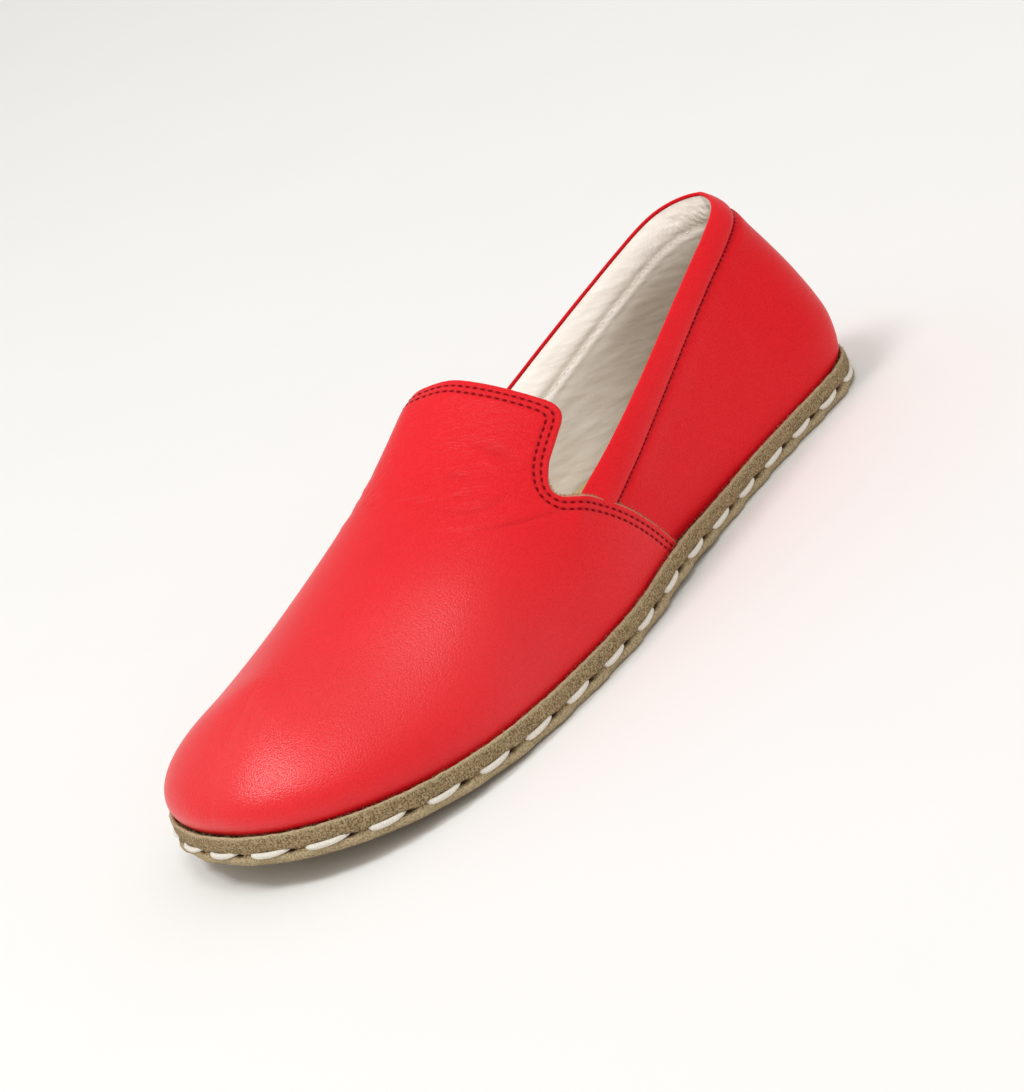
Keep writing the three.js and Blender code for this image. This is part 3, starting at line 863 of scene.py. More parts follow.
# %% Lines of the creases
CREASES = [
    ([(146.2, 34.3, 40.3), (149.9, 33.5, 41.7), (154.5, 32.6, 42.8), (158.6, 31.2, 44.3), (163.6, 29.2, 45.8),
      (167.3, 27.1, 47.1), (170.6, 24.1, 48.6), (173.1, 20.9, 49.9)], 0.62, -0.36),
    ([(163.6, 28.4, 46.6), (169.0, 23.6, 49.2), (172.7, 19.8, 50.5), (174.0, 16.3, 51.7)], 0.9, 0.30),
    ([(158.7, 24.6, 50.4), (164.1, 21.9, 51.2), (167.8, 18.2, 52.3), (169.1, 14.1, 53.6),
      (169.5, 10.4, 54.7)], 1.1, -0.28),
    ([(153.8, 25.1, 50.9), (157.5, 22.8, 51.9), (161.6, 20.7, 52.4), (164.1, 17.8, 53.3),
      (166.2, 14.1, 54.4)], 0.9, 0.28),
    ([(157.1, 19.3, 54.2), (160.0, 15.6, 55.3), (161.3, 13.3, 55.9), (164.2, 12.2, 55.5)], 0.8, 0.22),
    ([(160.2, 17.6, 54.4), (163.7, 14.7, 54.8), (165.4, 13.1, 54.9)], 0.8, -0.18),
    ([(165.4, 9.2, 56.1), (167.9, 5.3, 56.3), (169.1, 0.2, 56.6), (169.6, -3.9, 56.8)], 0.9, 0.26),
    ([(156.0, 14.5, 57.0), (158.0, 11.1, 57.6), (159.7, 5.5, 58.7)], 1.1, -0.22),
    ([(147.7, 10.4, 61.4), (146.8, 16.3, 58.9), (146.4, 22.0, 55.2)], 1.8, -0.26),
    ([(150.9, 19.5, 55.7), (151.0, 16.1, 57.6), (151.8, 13.4, 58.6)], 1.1, 0.22),
]
BAND_TUCK = [(139.5, 34.5, 40.0), (144.5, 35.1, 38.7), (148.6, 36.4, 36.1), (154.0, 38.1, 32.8)]
print(len(CREASES), "creases, the longest", round(length_of(np.array(CREASES[0][0]))), "mm")

# %% [markdown]
# A crease is a hump across its line that fades to both ends. The same lines, weaker, lie on the inner side.
# The troughs also get painted shade: their colour is darkened. Two more numbers for the material are worked
# out here as well: where the toe is buffed, and where the finest wrinkles lie.

# %% Creases of the vamp
BUFFED_STREAK = (264.0, 2.0, 30.0), (200.0, 32.0, 33.0)  # from the toe along the outer side
BUFFED_WIDTH = 27.0
WRINKLED_AT, WRINKLED_WIDTH = np.array([(158.0, 19.0, 53.0), (147.0, 18.0, 57.5)]), 18.0
INNER_STRENGTH = 0.6  # of the creases on the inner side
FAR = 1e3


def inner_twin(points, offset):
    """The same places on the inner side of the shoe."""
    turn, up = np.meshgrid(np.linspace(0, 1, 300), np.linspace(0, 1, 140), indexing="ij")
    grid = raised(turn, up, offset).reshape(-1, 3)
    hit, _ = nearest(tree_of(grid), points)
    return raised(2 - turn.ravel()[hit], up.ravel()[hit], offset)


def from_line(points, line, reach):
    """Distance of points to a line and their share along it. Points out of reach keep a far distance."""
    dense = resample(line, np.linspace(0, length_of(line), 40))
    close = np.all((points > dense.min(axis=0) - reach) & (points < dense.max(axis=0) + reach), axis=1)
    away, way = np.full(len(points), FAR), np.zeros(len(points))
    apart = np.linalg.norm(points[close][:, None] - dense[None], axis=2)
    away[close], way[close] = apart.min(axis=1), apart.argmin(axis=1) / (len(dense) - 1)
    return away, way


vamp_offset = VAMP_TOP + 0.10 * bumps(vamp_outer, 16, 1)
crease_shade = np.zeros(len(vamp_outer))
for corners, width, height in CREASES:
    outer_line = np.array(corners)
    for line, strength in ((outer_line, 1.0), (inner_twin(outer_line, VAMP_TOP), INNER_STRENGTH)):
        away, way = from_line(vamp_outer, line, 4 * width)
        shape = strength * np.sin(np.pi * np.clip(0.12 + 0.85 * way, 0, 1)) * hump(away, width)
        vamp_offset += height * shape
        # Painted shade: the troughs of the creases are darkened in the colour, through the number dark.
        crease_shade += max(0.0, -0.4 * height) * shape

tuck_line = np.array(BAND_TUCK)
for line in (tuck_line, inner_twin(tuck_line, VAMP_TOP)):
    away, way = from_line(vamp_outer, line, 14)
    vamp_offset += 0.75 * hump(away, 3.2) * (1 - soft_step(way, 0.2, 1.0))

_, from_streak = nearest(tree_of(np.linspace(*BUFFED_STREAK, 30)), vamp_outer)
buffed = hump(from_streak, BUFFED_WIDTH)
wrinkled = np.zeros(len(vamp_outer))
for centre in np.vstack([WRINKLED_AT, inner_twin(WRINKLED_AT, VAMP_TOP)]):
    from_centre = np.linalg.norm(vamp_outer - centre, axis=1)
    wrinkled = np.maximum(wrinkled, hump(from_centre, WRINKLED_WIDTH))
print("deepest crease", round(float(VAMP_TOP - vamp_offset.min()), 2), "mm")

# %% [markdown]
# Two rows of stitches pull the calf down beside its edge. The tongue's edge is folded under, so it is round.
# At the notch and along the lap the calf is cut slanting, and its pale, rough inside shows. Rings of points
# grow out of the cut rim, and each ring is a blend of the two profiles.

# %% Vamp edge
SEWN_AT = (2.3, 4.3)  # distance of the two rows from the edge
for distance in SEWN_AT:
    vamp_offset -= 0.16 * hump(from_edge - distance, 0.55)
vamp_offset += 0.10 * hump(from_edge - 1.1, 0.7)
on_tongue = soft_step(vamp_outer[:, 0], 180.0, 136.0) * soft_step(vamp_outer[:, 2], 48.0, 62.0)
vamp_offset += 1.1 * on_tongue * hump(vamp_outer[:, 1] + 8.0, 15.0)  # arched across
at_end = np.clip(1 - from_edge / 6.0, 0, 1)**2 * soft_step(vamp_outer[:, 2], 60.0, 68.0)
vamp_offset -= 1.3 * at_end  # bent over
outer = vamp_points + vamp_normals * vamp_offset[:, None]
vamp_out = edge_frame(vamp_points, vamp_normals, vamp_rim)
free = soft_step(vamp_points[vamp_rim][:, 2], 46.0, 50.0)  # 1 on the folded tongue, 0 on the raw lap

# How far each ring goes out and down, for a folded and for a raw edge.
FOLDED = [(0.30, 0.05), (0.55, 0.22), (0.72, 0.48), (0.80, 0.82), (0.80, 1.30), (0.70, 1.90), (0.35, 2.45)]
RAW = [(0.10, 0.05), (0.20, 0.16), (0.42, 0.30), (0.64, 0.46), (0.84, 0.66), (1.00, 0.95), (0.70, 1.60)]
rings = []
for (fold_out, fold_down), (raw_out, raw_down) in zip(FOLDED, RAW):
    reach = free * fold_out + (1 - free) * raw_out
    drop = free * fold_down + (1 - free) * raw_down
    ragged = (1 - free) * 0.14 * bumps(outer[vamp_rim], 0.9, 3 + raw_down)
    grown = vamp_out * (reach + ragged)[:, None] - vamp_normals[vamp_rim] * drop[:, None]
    rings.append(outer[vamp_rim] + grown)
vamp_all = add_rings(outer, vamp_faces, vamp_rim, rings)

raw = np.concatenate([np.zeros(len(outer))] + [(1 - free) * min(1.0, 0.5 * k) for k in range(len(RAW))])
# Painted shade: the number dark darkens the colour in the grooves of the two stitch rows and in the troughs
# of the creases.
sewn = sum(hump(from_edge - distance, 0.45) for distance in SEWN_AT)
no_more = np.zeros(len(vamp_all) - len(outer))
dark = np.maximum(0.40 * sewn, crease_shade)
numbers = {"raw": raw}
for label, values in (("dark", dark), ("fine", wrinkled), ("buffed", buffed)):
    numbers[label] = np.append(values, no_more)
vamp = make_piece("vamp_calf", vamp_all, vamp_faces, vamp_leather, numbers)
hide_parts("vamp")

# %% [markdown]
# ## The collar
# The top edge of the quarter is bound with a folded strip of the same calf. The edge falls from the heel to
# the notches in a nearly straight line, a little lower on the outer side. On each rib it is found by halving
# the way up, and depths below it are measured along the rib.

# %% Line of the collar
COLLAR_BACK, COLLAR_FRONT, COLLAR_SAG = (5.0, 71.4), (141.0, 39.0), 0.3
BAND_BACK, BAND_FRONT = 6.8, 9.2
BAND_END = 150.0
TUCK_FROM, TUCK_TO = 134.0, 143.0  # where the band's end goes under the vamp


def collar_height(x):
    way = (x - COLLAR_BACK[0]) / (COLLAR_FRONT[0] - COLLAR_BACK[0])
    return COLLAR_BACK[1] + (COLLAR_FRONT[1] - COLLAR_BACK[1]) * way - COLLAR_SAG * 4 * way * (1 - way)


def collar_share(turn):
    """Share of the way up each rib where it meets the collar's edge."""
    low, high = np.zeros_like(turn), np.ones_like(turn)
    for _ in range(24):
        half_way = (low + high) / 2
        points = last_point(turn, half_way)
        below = points[..., 2] < collar_height(points[..., 0])
        low, high = np.where(below, half_way, low), np.where(below, high, half_way)
    return low


def collar_tilt(points):
    """How far the edge lies below its drawn line: lower on the outer side, higher on the inner."""
    outer_side = soft_step(points[..., 1], -8.0, 8.0)
    return (2.1 * outer_side - 0.8) * np.sin(np.pi * np.clip(points[..., 0] / 135.0, 0, 1))


def heel_turns(end, count):
    """Turns round the heel, as far forward as an end on both sides."""
    half = np.linspace(0, walk_of(end / LENGTH), count)
    return np.concatenate([-half[:0:-1], half])


band_turns = heel_turns(BAND_END, 190)
band_edge = collar_share(band_turns)
band_place = place_of(walk_of_turn(band_turns))
band_depth = BAND_BACK + (BAND_FRONT - BAND_BACK) * band_place / SEAM_TOP[0]
band_drop = collar_tilt(last_point(band_turns, band_edge))
band_climb = last_point(band_turns, band_edge + SMALL) - last_point(band_turns, band_edge - SMALL)
pace = np.linalg.norm(band_climb, axis=-1) / (2 * SMALL)  # millimetres per unit of share
tucked = soft_step(band_place, TUCK_FROM, TUCK_TO)


def below_edge(depth):
    """Share of the way up each rib, a depth in millimetres below the collar's edge."""
    return band_edge - depth / pace


print("edge of the collar:", round(length_of(last_point(band_turns, band_edge))), "mm long")

# %% [markdown]
# The band's section is drawn once, as depths below the edge and offsets from the last, and swept round the
# heel from one notch to the other. The band is widest at the front, and it is sewn down in the ditch along
# its lower edge.

# %% Collar band
# Section of the band: share of its depth, millimetres below the edge, offset from the last.
BAND_SECTION = [
    (1.00, 0.35, -0.10), (1.00, 0.22, 0.35), (1.00, 0.00, 0.82), (1.00, -0.45, 1.14), (0.82, 0, 1.34),
    (0.62, 0, 1.34), (0.40, 0, 1.10), (0.20, 0, 0.72), (0.05, 0, 0.36), (0, -0.40, 0.12), (0, -0.85, -0.20),
    (0, -1.10, -0.44), (0, -1.18, -0.64), (0, -1.14, -0.82), (0, -1.00, -0.98), (0, -0.75, -1.10),
    (0, -0.45, -1.17), (0, -0.20, -1.17), (0, 0.00, -1.00), (0, 0.35, -0.55),
]


def band_row(share, drop, offset):
    depth = band_drop + share * (band_depth - band_drop) + drop
    flat = np.where(offset > 0, 1 - 0.62 * tucked, 1.0)
    return raised(band_turns, below_edge(depth), offset * flat)


rows = np.stack([band_row(*corner) for corner in BAND_SECTION], 1)
band_points = rows.reshape(-1, 3)
band_points = band_points + 0.07 * bumps(band_points, 7, 11)[:, None] * (0, 1, 0)
across = len(BAND_SECTION)
band_faces = grid_faces(len(band_turns), across)
# Painted shade: the three rows down in the ditch at the band's lower edge get a darker colour.
band_ditch_shade = np.tile([0.75, 0.55, 0.20] + [0.0] * (across - 3), len(band_turns))
band = make_piece("collar_band", band_points, band_faces, band_leather, {"dark": band_ditch_shade})
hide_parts("collar_binding")

# %% [markdown]
# ## The quarter
# Behind the vamp the quarter wraps the heel. It is the same surface again, cut along the collar's edge, and
# it swells a little below the band, most at the back, where band and quarter lie flush. Beside the vamp it
# lies close to the last, so that it stays under the lap.

# %% Quarter
QUARTER_END = 156
edge_corners = [(x, collar_height(x), 0) for x in np.linspace(COLLAR_BACK[0], COLLAR_FRONT[0], 30)]
opening_corners = [(BEHIND_HEEL, COLLAR_BACK[1], 0), *edge_corners, *THROAT, TONGUE_TOP]
opening = np.vstack([rounded(opening_corners), [(BEHIND_HEEL, OVERHEAD)]])


def quarter_keep(points):
    return -inside(opening, swept_back(points)) - 0.6


quarter_points, quarter_normals, quarter_faces, _ = cut_sheet(
    heel_turns(QUARTER_END, 190), np.linspace(0, 0.9, 100), 0.0, quarter_keep)
ditch = band_row(1.0, 0.45, 0.0)
_, from_ditch = nearest(tree_of(evenly(ditch, 0.4)), quarter_points)
below = quarter_points[:, 2] < collar_height(quarter_points[:, 0]) - 0.8 * BAND_BACK
from_seam = -inside(vamp_shape, quarter_points)
clear = soft_step(from_seam, 0.0, 9.0)
heel_side = soft_step(quarter_points[:, 0], 44.0, 6.0)
swell = 0.35 + 0.95 * heel_side + 0.45 * hump(from_ditch - 2.2, 4.0)
swell = swell * clear * soft_step(quarter_points[:, 2], 10.0, 24.0)
quarter_offset = np.where(below, swell * (1 - 0.9 * hump(from_ditch, 0.8)), -0.2)
quarter_offset += clear * (0.22 * bumps(quarter_points, 22, 4) + 0.04 * bumps(quarter_points, 6, 5))
quarter_all = quarter_points + quarter_normals * quarter_offset[:, None]
# Painted shade: the quarter is darker in the ditch under the band.
quarter_ditch_shade = 0.5 * hump(from_ditch, 0.5)
quarter = make_piece("quarter_calf", quarter_all, quarter_faces, quarter_leather, {"dark": quarter_ditch_shade})
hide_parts("upper")

# %% [markdown]
# ## The lining
# Inside, the lining lies a wall's thickness deeper over the whole shoe, also under the vamp. It ends behind
# the lip of the band, which is lower on the outer side than on the inner one, so its top follows that tilt.

# %% Lining sheet
LINING = -1.6
LINING_TOP = 0.75  # how far it stands over the edge, up behind the lip of the band
lining_turns = np.linspace(0, 2, 560, endpoint=False)
band_steep = unit(band_climb)[:, 2]
inner_band, outer_band = band_turns <= 0, band_turns >= 0


def lining_keep(points):
    """Positive inside the lining: up to the band's top at the collar, short of the edge at the throat."""
    over = points[..., 2] - collar_height(points[..., 0])
    along_collar = soft_step(over, 14.0, 8.0) * soft_step(points[..., 0], 146.0, 138.0)
    steep_outer = np.interp(points[..., 0], band_place[outer_band], band_steep[outer_band])
    steep_inner = np.interp(points[..., 0], band_place[inner_band][::-1], band_steep[inner_band][::-1])
    steep = np.where(points[..., 1] > 0, steep_outer, steep_inner)
    top = 0.5 + (LINING_TOP - collar_tilt(points)) * steep
    return -inside(opening, swept_back(points)) - 0.5 + top * along_collar


lining_points, lining_normals, lining_faces, lining_rim = cut_sheet(
    lining_turns, np.linspace(0, 1, 100), 0.0, lining_keep, closed=True)
lining_inner = lining_points + lining_normals * LINING
rim_hit, from_top = nearest(tree_of(lining_inner[lining_rim]), lining_inner)
from_top -= LINING_TOP
rim_run = along_line(lining_inner[lining_rim])[rim_hit]
print("top edge of the lining:", round(length_of(lining_inner[lining_rim])), "mm long")

# %% [markdown]
# A stitched line runs a finger's width below the edge, with a soft roll above it. The skin is wrinkled along
# the foot, and round the heel its top is gathered in short puckers. All of these are moves along the normals,
# told apart by the distance from the top edge.

# %% Folds of the lining
LINE_DEPTH = 10.6  # stitched line below the collar's edge
PUCKER = 2.1
at_collar = soft_step(lining_inner[:, 0], 140.0, 132.0)
at_heel = soft_step(lining_inner[:, 0], 62.0, 20.0)

skewed = lining_inner.copy()
skewed[:, 2] -= math.tan(LINING_CLIMB) * lining_inner[:, 0]
fold = bumps(skewed * (0.26, 0.8, 1.0), 2.7, 6) + 0.5 * bumps(skewed * (0.3, 0.8, 1.0), 1.5, 12)
pucker = np.cos(2 * np.pi * (rim_run + 0.7 * from_top + 0.9 * bumps(lining_inner, 9, 13)) / PUCKER)
lining_offset = np.full(len(lining_points), LINING)
# The top leans on the band, a roll lies above the stitched line and a narrow one below it.
lining_offset += 0.65 * at_collar * soft_step(from_top, 2.6, -0.6)
lining_offset -= at_collar * (1.0 * hump(from_top - 7.6, 4.2) + 0.60 * hump(from_top - 12.9, 1.3))
lining_offset += 0.45 * at_collar * hump(from_top - LINE_DEPTH, 0.9)
# Folds lie below the line, puckers above it at the heel, and the whole is a little uneven.
lining_offset += 0.20 * fold * soft_step(from_top, LINE_DEPTH + 1.5, LINE_DEPTH + 6.0)
lining_offset += 0.36 * pucker * at_heel * hump(from_top - 6.5, 3.6)
lining_offset += 0.25 * bumps(lining_inner, 14, 7) * soft_step(from_top, 0.5, 4.0)
lining_shell = lining_points + lining_normals * lining_offset[:, None]
lining_out = edge_frame(lining_points, lining_normals, lining_rim, closed=True)
lining_rings = [lining_shell[lining_rim] + lining_out * reach + lining_normals[lining_rim] * rise_by
                for reach, rise_by in ((0.06, 0.15), (0.06, 0.4))]
lining_all = add_rings(lining_shell, lining_faces, lining_rim, lining_rings, closed=True)
# Painted shade: the lining darkens below the stitched line and more deeply in the heel, where shade falls
# inside the shoe. A faint dark line also follows the stitched line.
lining_shade = 0.40 * soft_step(from_top, LINE_DEPTH + 1.0, LINE_DEPTH + 9.0)
in_heel = soft_step(lining_inner[:, 0], 80.0, 30.0)
lining_shade += 0.30 * in_heel * soft_step(from_top, LINE_DEPTH, LINE_DEPTH + 14.0)
lining_shade += 0.12 * at_collar * hump(from_top - LINE_DEPTH, 0.6)
lining_shade = np.append(lining_shade, np.zeros(len(lining_all) - len(lining_shell)))
lining = make_piece("lining", lining_all, [face[::-1] for face in lining_faces], lining_leather,
                    {"dark": lining_shade})
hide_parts("upper")
inside_only.objects.link(lining)

# %% [markdown]
# ## The sole
# Two thick leathers are sewn together through a channel in their edge. The upper lip stands round the shoe,
# with a ledge between it and the calf that is darkened as painted shade. The lower lip is drawn in by every
# stitch, so that its edge is scalloped. So the places of the stitches come first, and they lie closer
# together at heel and toe.

# %% Places of the stitches
STITCH_LENGTH = 10.5
PITCH_ENDS, PITCH_MIDDLE = 14.8, 17.4
FIRST_STITCH = 25.2  # along the outer edge from the heel

edge_turns = np.linspace(0, 2, 4001)
edge_run = along_line(outline(edge_turns))
edge_total = edge_run[-1]
to_toe = np.interp(1.0, edge_turns, edge_run)


def pitch_at(run):
    way = np.where(run < to_toe, run / to_toe, (edge_total - run) / (edge_total - to_toe))
    return PITCH_ENDS + (PITCH_MIDDLE - PITCH_ENDS) * np.sin(np.pi * np.clip(way, 0, 1))**0.7


stitch_runs = [FIRST_STITCH]
while stitch_runs[-1] + pitch_at(stitch_runs[-1]) < edge_total + FIRST_STITCH - 0.6 * PITCH_ENDS:
    stitch_runs.append(stitch_runs[-1] + pitch_at(stitch_runs[-1]))
stitch_runs = np.array(stitch_runs)
print(len(stitch_runs), "stitches round", round(float(edge_total)), "mm of edge")

# %% [markdown]
# The side of the sole is a section that is swept round the outline. Each row of it knows how much painted
# shade it gets, on the ledge under the calf and inside the channel, how worn it is, and how it moves where
# the channel opens behind a stitch. Between two stitches the channel is pressed shut, and its painted shade
# fades.

# %% Outsole
# Section of the side: inset, height, dark (painted shade), worn, and the way a row moves as the channel
# opens.
SOLE_SECTION = [
    (9.00, 7.40, 0.85, 0.0, 0.0), (4.00, 7.40, 0.85, 0.0, 0.0), (2.30, 7.35, 0.80, 0.0, 0.0),
    (1.62, 7.60, 0.70, 0.0, 0.0), (1.40, 8.15, 0.45, 0.2, 0.0), (1.18, 8.58, 0.15, 0.6, 0.0),
    (0.86, 8.80, 0.0, 0.9, 0.0), (0.50, 8.82, 0.0, 1.0, 0.0), (0.22, 8.60, 0.0, 0.8, 0.0),
    (0.06, 8.18, 0.0, 0.25, 0.0), (-0.02, 7.60, 0.0, 0.0, 0.0), (-0.10, 6.80, 0.0, 0.0, 0.0),
    (-0.12, 6.00, 0.0, 0.0, 0.0), (-0.10, 5.25, 0.0, 0.0, 0.1), (-0.03, 4.65, 0.0, 0.0, 0.2),
    (0.06, 4.20, 0.05, 0.0, 0.4), (0.24, 3.86, 0.25, 0.0, 0.7), (0.70, 3.64, 0.80, 0.0, 0.9),
    (1.40, 3.52, 1.0, 0.0, 1.0), (1.90, 3.42, 1.0, 0.0, 0.0), (1.40, 3.32, 1.0, 0.0, -1.0),
    (0.70, 3.20, 0.80, 0.0, -0.9), (0.16, 3.02, 0.25, 0.1, -0.7), (-0.12, 2.72, 0.0, 0.4, -0.4),
    (-0.30, 2.25, 0.0, 0.6, -0.1), (-0.36, 1.70, 0.0, 0.6, 0.0), (-0.30, 1.10, 0.0, 0.5, 0.0),
    (-0.02, 0.52, 0.0, 0.4, 0.0), (0.60, 0.12, 0.0, 0.2, 0.0), (1.70, 0.00, 0.0, 0.2, 0.0),
    (8.00, 0.00, 0.0, 0.2, 0.0),
]
COLUMNS = 1400
column_runs = np.linspace(0, edge_total, COLUMNS, endpoint=False)
column_turns = np.interp(column_runs, edge_run, edge_turns)
offsets = (column_runs[:, None] - stitch_runs[None, :] + edge_total / 2) % edge_total - edge_total / 2
to_stitch = offsets[np.arange(COLUMNS), np.abs(offsets).argmin(axis=1)]
pull = hump(to_stitch - 1.5, 3.0)  # the thread draws the lower lip in
gap = soft_step(np.abs(to_stitch), 4.6, 6.2)  # between two stitches it bulges
slit = hump(to_stitch + 6.0, 1.5)  # the hole behind each stitch stays open
closed = gap * (1 - slit)

rows, row_shades = [], []
for inset, height, dark, worn, opens in SOLE_SECTION:
    lower = soft_step(height, 3.4, 2.6) * soft_step(height, 0.0, 0.5) if inset < 2 else 0.0
    upper_lip = soft_step(height, 3.5, 4.2) if inset < 1.3 else 0.0
    rough = edge_point(column_turns, inset, height)
    in_channel = 3.0 < height < 3.9
    filled = inset * (1 - 0.7 * closed) if in_channel else inset
    inward = filled + lower * (0.42 * pull - 0.35 * gap) + 0.10 * upper_lip * (1 - gap)
    inward = inward + 0.11 * (lower + upper_lip) * bumps(rough, 1.5, 8)
    higher = height + 0.18 * upper_lip * soft_step(height, 7.8, 8.6) * bumps(rough, 2.2, 9)
    higher = higher + opens * (0.24 * slit - 0.16 * closed)
    rows.append(edge_point(column_turns, inward, higher))
    # Painted shade: the ledge under the calf and the open slit of the channel are darkened.
    row_shades.append(dark * (1 - 0.8 * closed) if in_channel else np.full(COLUMNS, dark))
sole_points = np.stack(rows, 1).reshape(-1, 3)
across = len(SOLE_SECTION)
sole_faces = [face[::-1] for face in grid_faces(COLUMNS, across, loop_columns=True)]
sole_faces.append([i * across for i in reversed(range(COLUMNS))])
sole_faces.append([i * across + across - 1 for i in range(COLUMNS)])
numbers = {"dark": np.stack(row_shades, 1).ravel(), "worn": np.tile([row[3] for row in SOLE_SECTION], COLUMNS)}
sole = make_piece("outsole_hide", sole_points, sole_faces, sole_leather, numbers)
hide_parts("outsole")

# %% [markdown]
# Each hand stitch is a fat waxed thread that comes out of the channel, lies in a shallow bow over the lower
# lip and goes back in. All stitches are one mesh: a path and a thickness are worked out for the whole array
# at once, and a ring of points is set round each path point.

# %% Sole thread
def tubes(paths, normals, wide, high, sides):
    """Joined threads along paths (count, steps, 3), with half widths along and across the normals."""
    count, steps, _ = paths.shape
    ahead = unit(np.gradient(paths, axis=1))
    beside = unit(np.cross(ahead, normals))
    over = np.cross(beside, ahead)
    angle = np.linspace(0, 2 * np.pi, sides, endpoint=False)
    wide, high = (np.asarray(size).reshape(-1, steps, 1, 1) for size in (wide, high))
    ring = beside[:, :, None] * np.cos(angle)[None, None, :, None] * wide
    ring = ring + over[:, :, None] * np.sin(angle)[None, None, :, None] * high
    points = (paths[:, :, None] + ring).reshape(-1, 3)
    faces = []
    for first in range(0, count * steps * sides, steps * sides):
        faces += grid_faces(steps, sides, first, loop_rows=True)
        faces.append([first + a for a in range(sides)][::-1])
        faces.append([first + (steps - 1) * sides + a for a in range(sides)])
    return points, faces


# A stitch from its rear end to its front end: share of its length, inset, height, half thickness.
STITCH_PATH = np.array([
    (-0.53, 1.50, 3.66, 0.30), (-0.48, 0.85, 3.72, 0.42), (-0.38, 0.25, 3.70, 0.58),
    (-0.22, -0.10, 3.56, 0.74), (-0.04, -0.24, 3.40, 0.82), (0.14, -0.26, 3.30, 0.85),
    (0.30, -0.14, 3.24, 0.83), (0.42, 0.14, 3.24, 0.76), (0.49, 0.62, 3.28, 0.60),
    (0.52, 1.40, 3.36, 0.45),
])
fine = np.linspace(0, len(STITCH_PATH) - 1, 22)
path = read_along(fine, np.arange(len(STITCH_PATH)), STITCH_PATH)
lengths = STITCH_LENGTH * (1 + 0.05 * rng.standard_normal(len(stitch_runs)))
runs = (stitch_runs[:, None] + lengths[:, None] * path[None, :, 0]) % edge_total
turns = np.interp(runs, edge_run, edge_turns)
sag = 0.12 * rng.standard_normal((len(stitch_runs), 1)) * np.cos(np.pi * path[None, :, 0])
paths = edge_point(turns, path[:, 1], path[None, :, 2] + sag)
sideways = np.concatenate([outward(turns), np.zeros(turns.shape + (1,))], -1)
make_piece("sole_thread", *tubes(paths, sideways, path[:, 3], 0.82 * path[:, 3], 12), white_thread)

# %% [markdown]
# Where leather is cut and not finished, fibres stand out of it. A fibre is a thin bent thread with a random
# lean, and hundreds of them along an edge make it look frayed.

# %% Fibres of the raw edges
def fibres(name, roots, normals, longest, thin, material):
    """Bent fibres from roots, leaning at random away from normals."""
    count = len(roots)
    lean = unit(normals + 0.7 * rng.standard_normal((count, 3)))
    curl = 0.5 * rng.standard_normal((count, 3))
    length = longest * (0.3 + 0.7 * rng.random((count, 1)))
    steps = np.linspace(0, 1, 4)[None, :, None]
    paths = roots[:, None] + length[:, None] * (lean[:, None] * steps + curl[:, None] * steps**2 * 0.5)
    beside = np.cross(lean, unit(rng.standard_normal((count, 3))))[:, None] * np.ones((1, 4, 1))
    width = thin * np.array([1.0, 0.9, 0.6, 0.2])
    return make_piece(name, *tubes(paths, beside, width, width, 3), material)


LIP_FIBRES, RAW_FIBRES = 2600, 700
RAW_RING = 4  # the ring of the vamp's edge that lies in the middle of the raw cut
LONGEST_STEP = 2.0  # between neighbours on the raw edge, which has gaps
at = np.interp(edge_total * rng.random(LIP_FIBRES), edge_run, edge_turns)
inset = 0.15 + 1.3 * rng.random(LIP_FIBRES)
roots = edge_point(at, inset, 8.45 + 0.3 * np.minimum(1, inset))
leans = np.concatenate([outward(at) * (0.6 - inset)[:, None], np.full((LIP_FIBRES, 1), 0.8)], -1)
fibres("lip_fibres", roots, unit(leans), 0.75, 0.055, sole_fibre)

raw_ring = rings[RAW_RING]
pick = rng.choice(np.flatnonzero(free < 0.4)[:-1], RAW_FIBRES)
share = rng.random((RAW_FIBRES, 1))
start, stop = raw_ring[pick], raw_ring[pick + 1]
joined = np.linalg.norm(stop - start, axis=1)[:, None] < LONGEST_STEP
roots = np.where(joined, start * (1 - share) + stop * share, start)
leans = unit(vamp_out[pick] + 0.5 * vamp_normals[vamp_rim][pick])
fibres("raw_calf_fibres", roots, leans, 0.8, 0.05, raw_fibre)

# %% [markdown]
# ## The insole
# The sock is a sheet of vegetable tanned hide that lies on the outsole inside the shoe. Its edge curls up a
# little against the lining.

# %% Insole
SOCK_TOP = SEAT + FIT_GAP + 2.0
SOCK_COLUMNS, SOCK_ROWS = 160, 60
sock_turns = np.linspace(0, 1, SOCK_COLUMNS)
sock_across = np.linspace(-1, 1, SOCK_ROWS)
sock_inset = tuck(sock_turns) + 1.9
left = edge_point(sock_turns, sock_inset, SOCK_TOP)
right = edge_point(2 - sock_turns, sock_inset, SOCK_TOP)
share = ((sock_across + 1) / 2)[None, :, None]
sock_points = (left[:, None] * share + right[:, None] * (1 - share)).reshape(-1, 3)
curl = np.tile(1.1 * soft_step(np.abs(sock_across), 0.80, 1.0), SOCK_COLUMNS)
sock_points[:, 2] += curl + 0.12 * bumps(sock_points, 12, 10)
sock_faces = grid_faces(SOCK_COLUMNS, SOCK_ROWS)
sock_dark = np.zeros(len(sock_points))
insole = make_piece("insole_sock", sock_points, sock_faces, insole_leather, {"dark": sock_dark})
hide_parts("insole")
inside_only.objects.link(insole)

# %% [markdown]
# ## Seams
# The vamp is sewn with two rows of dark red thread beside its edge, the band with one row in its ditch, and
# the lining with a pale row. A stitch is a short flat thread that bows over the leather and dips into it at
# both ends, and a row of them is one mesh.

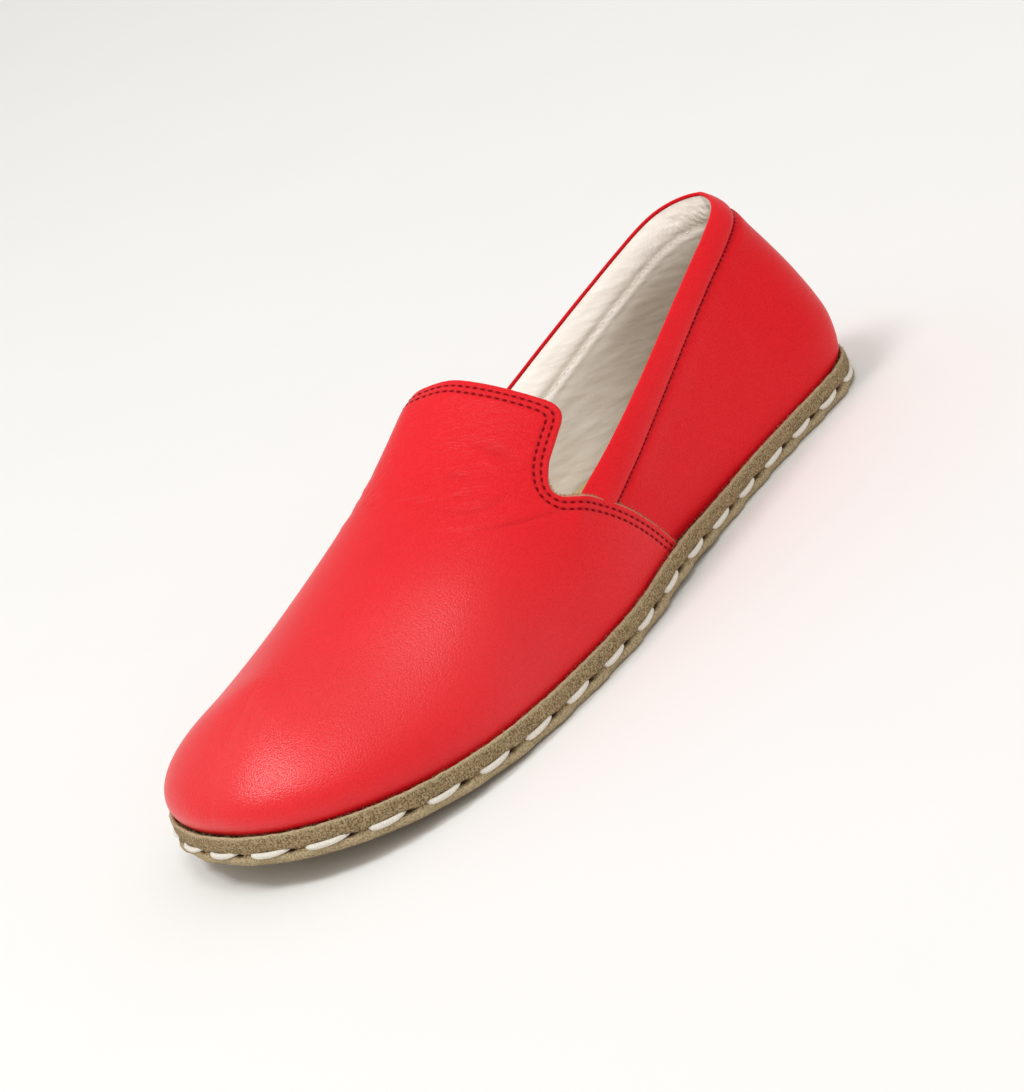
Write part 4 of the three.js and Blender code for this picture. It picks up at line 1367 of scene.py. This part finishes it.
# %% Tools for stitches
def laid_on(points, tree, surface, normals):
    """Points moved along the nearest normals onto a surface, with those normals."""
    hit, _ = nearest(tree, points)
    away = np.sum((points - surface[hit]) * normals[hit], axis=1)
    return points - normals[hit] * away[:, None], normals[hit]


def sewn_row(name, line, normals, stitch, material):
    """Short stitches along a line of points with normals."""
    pitch, length, wide, high = stitch
    run = along_line(line)
    centres = np.arange(pitch, run[-1] - pitch, pitch)
    places = centres[:, None] + length * np.linspace(-0.5, 0.5, 5)[None, :]
    ups = unit(read_along(places, run, normals))
    bow = np.array([-1.0, 0.3, 0.6, 0.3, -1.0]) * high
    paths = read_along(places, run, line) + ups * bow[None, :, None]
    widths = wide * np.array([0.5, 1, 1, 1, 0.5])
    heights = high * np.array([0.6, 1, 1, 1, 0.6])
    return make_piece(name, *tubes(paths, ups, widths, heights, 6), material)


def smoothed(line, reach):
    """A line of evenly spaced points, averaged over a few neighbours."""
    padded = np.vstack([np.repeat(line[:1], reach, 0), line, np.repeat(line[-1:], reach, 0)])
    return np.stack([padded[k:k + len(line)] for k in range(2 * reach + 1)]).mean(axis=0)


# %% [markdown]
# A row is an edge moved inwards and laid back on the leather. In the notch the moved line would run into
# itself, so points that come too near the edge are dropped, and the rest is evened out.

# %% Rows of stitches
# Pitch, length, half width and half height of a stitch.
VAMP_STITCH = (2.4, 1.75, 0.34, 0.13)
COLLAR_STITCH = (1.9, 1.15, 0.24, 0.20)
LINING_STITCH = (2.2, 1.5, 0.24, 0.15)
COLLAR_SEAM_END, LINING_SEAM_END = 141.0, 132.0

surface_tree = tree_of(outer)
run = along_line(vamp_rim_line)
dense_run = np.arange(0, run[-1], LINE_STEP)
rim_dense = resample(vamp_rim_line, dense_run)
out_dense = unit(read_along(dense_run, run, vamp_out))
for label, inset in zip(("outer", "inner"), SEWN_AT):
    moved = rim_dense - out_dense * (inset - EDGE_ROUND)
    moved, _ = laid_on(moved, surface_tree, outer, vamp_normals)
    _, away = nearest(rim_tree, moved)
    moved = moved[away > inset - EDGE_ROUND - 0.2]
    row = smoothed(evenly(moved, LINE_STEP), 8)
    row, row_normals = laid_on(row, surface_tree, outer, vamp_normals)
    sewn_row("vamp_seam_" + label, row, smoothed(row_normals, 3), VAMP_STITCH, red_thread)

ditch_line = band_row(1.0, 0.40, 0.55)
ditch_normals = last_normal(band_turns, below_edge(band_depth))
keep = band_place < COLLAR_SEAM_END
sewn_row("collar_seam", ditch_line[keep], ditch_normals[keep], COLLAR_STITCH, red_thread)

keep = band_place < LINING_SEAM_END
lining_line = raised(band_turns, below_edge(LINE_DEPTH), LINING + 0.15)[keep]
inward = -last_normal(band_turns, below_edge(LINE_DEPTH))[keep]
line, _ = laid_on(lining_line, tree_of(lining_shell), lining_shell, lining_normals)
lining_seam = sewn_row("lining_seam", line, inward, LINING_STITCH, pale_thread)
inside_only.objects.link(lining_seam)
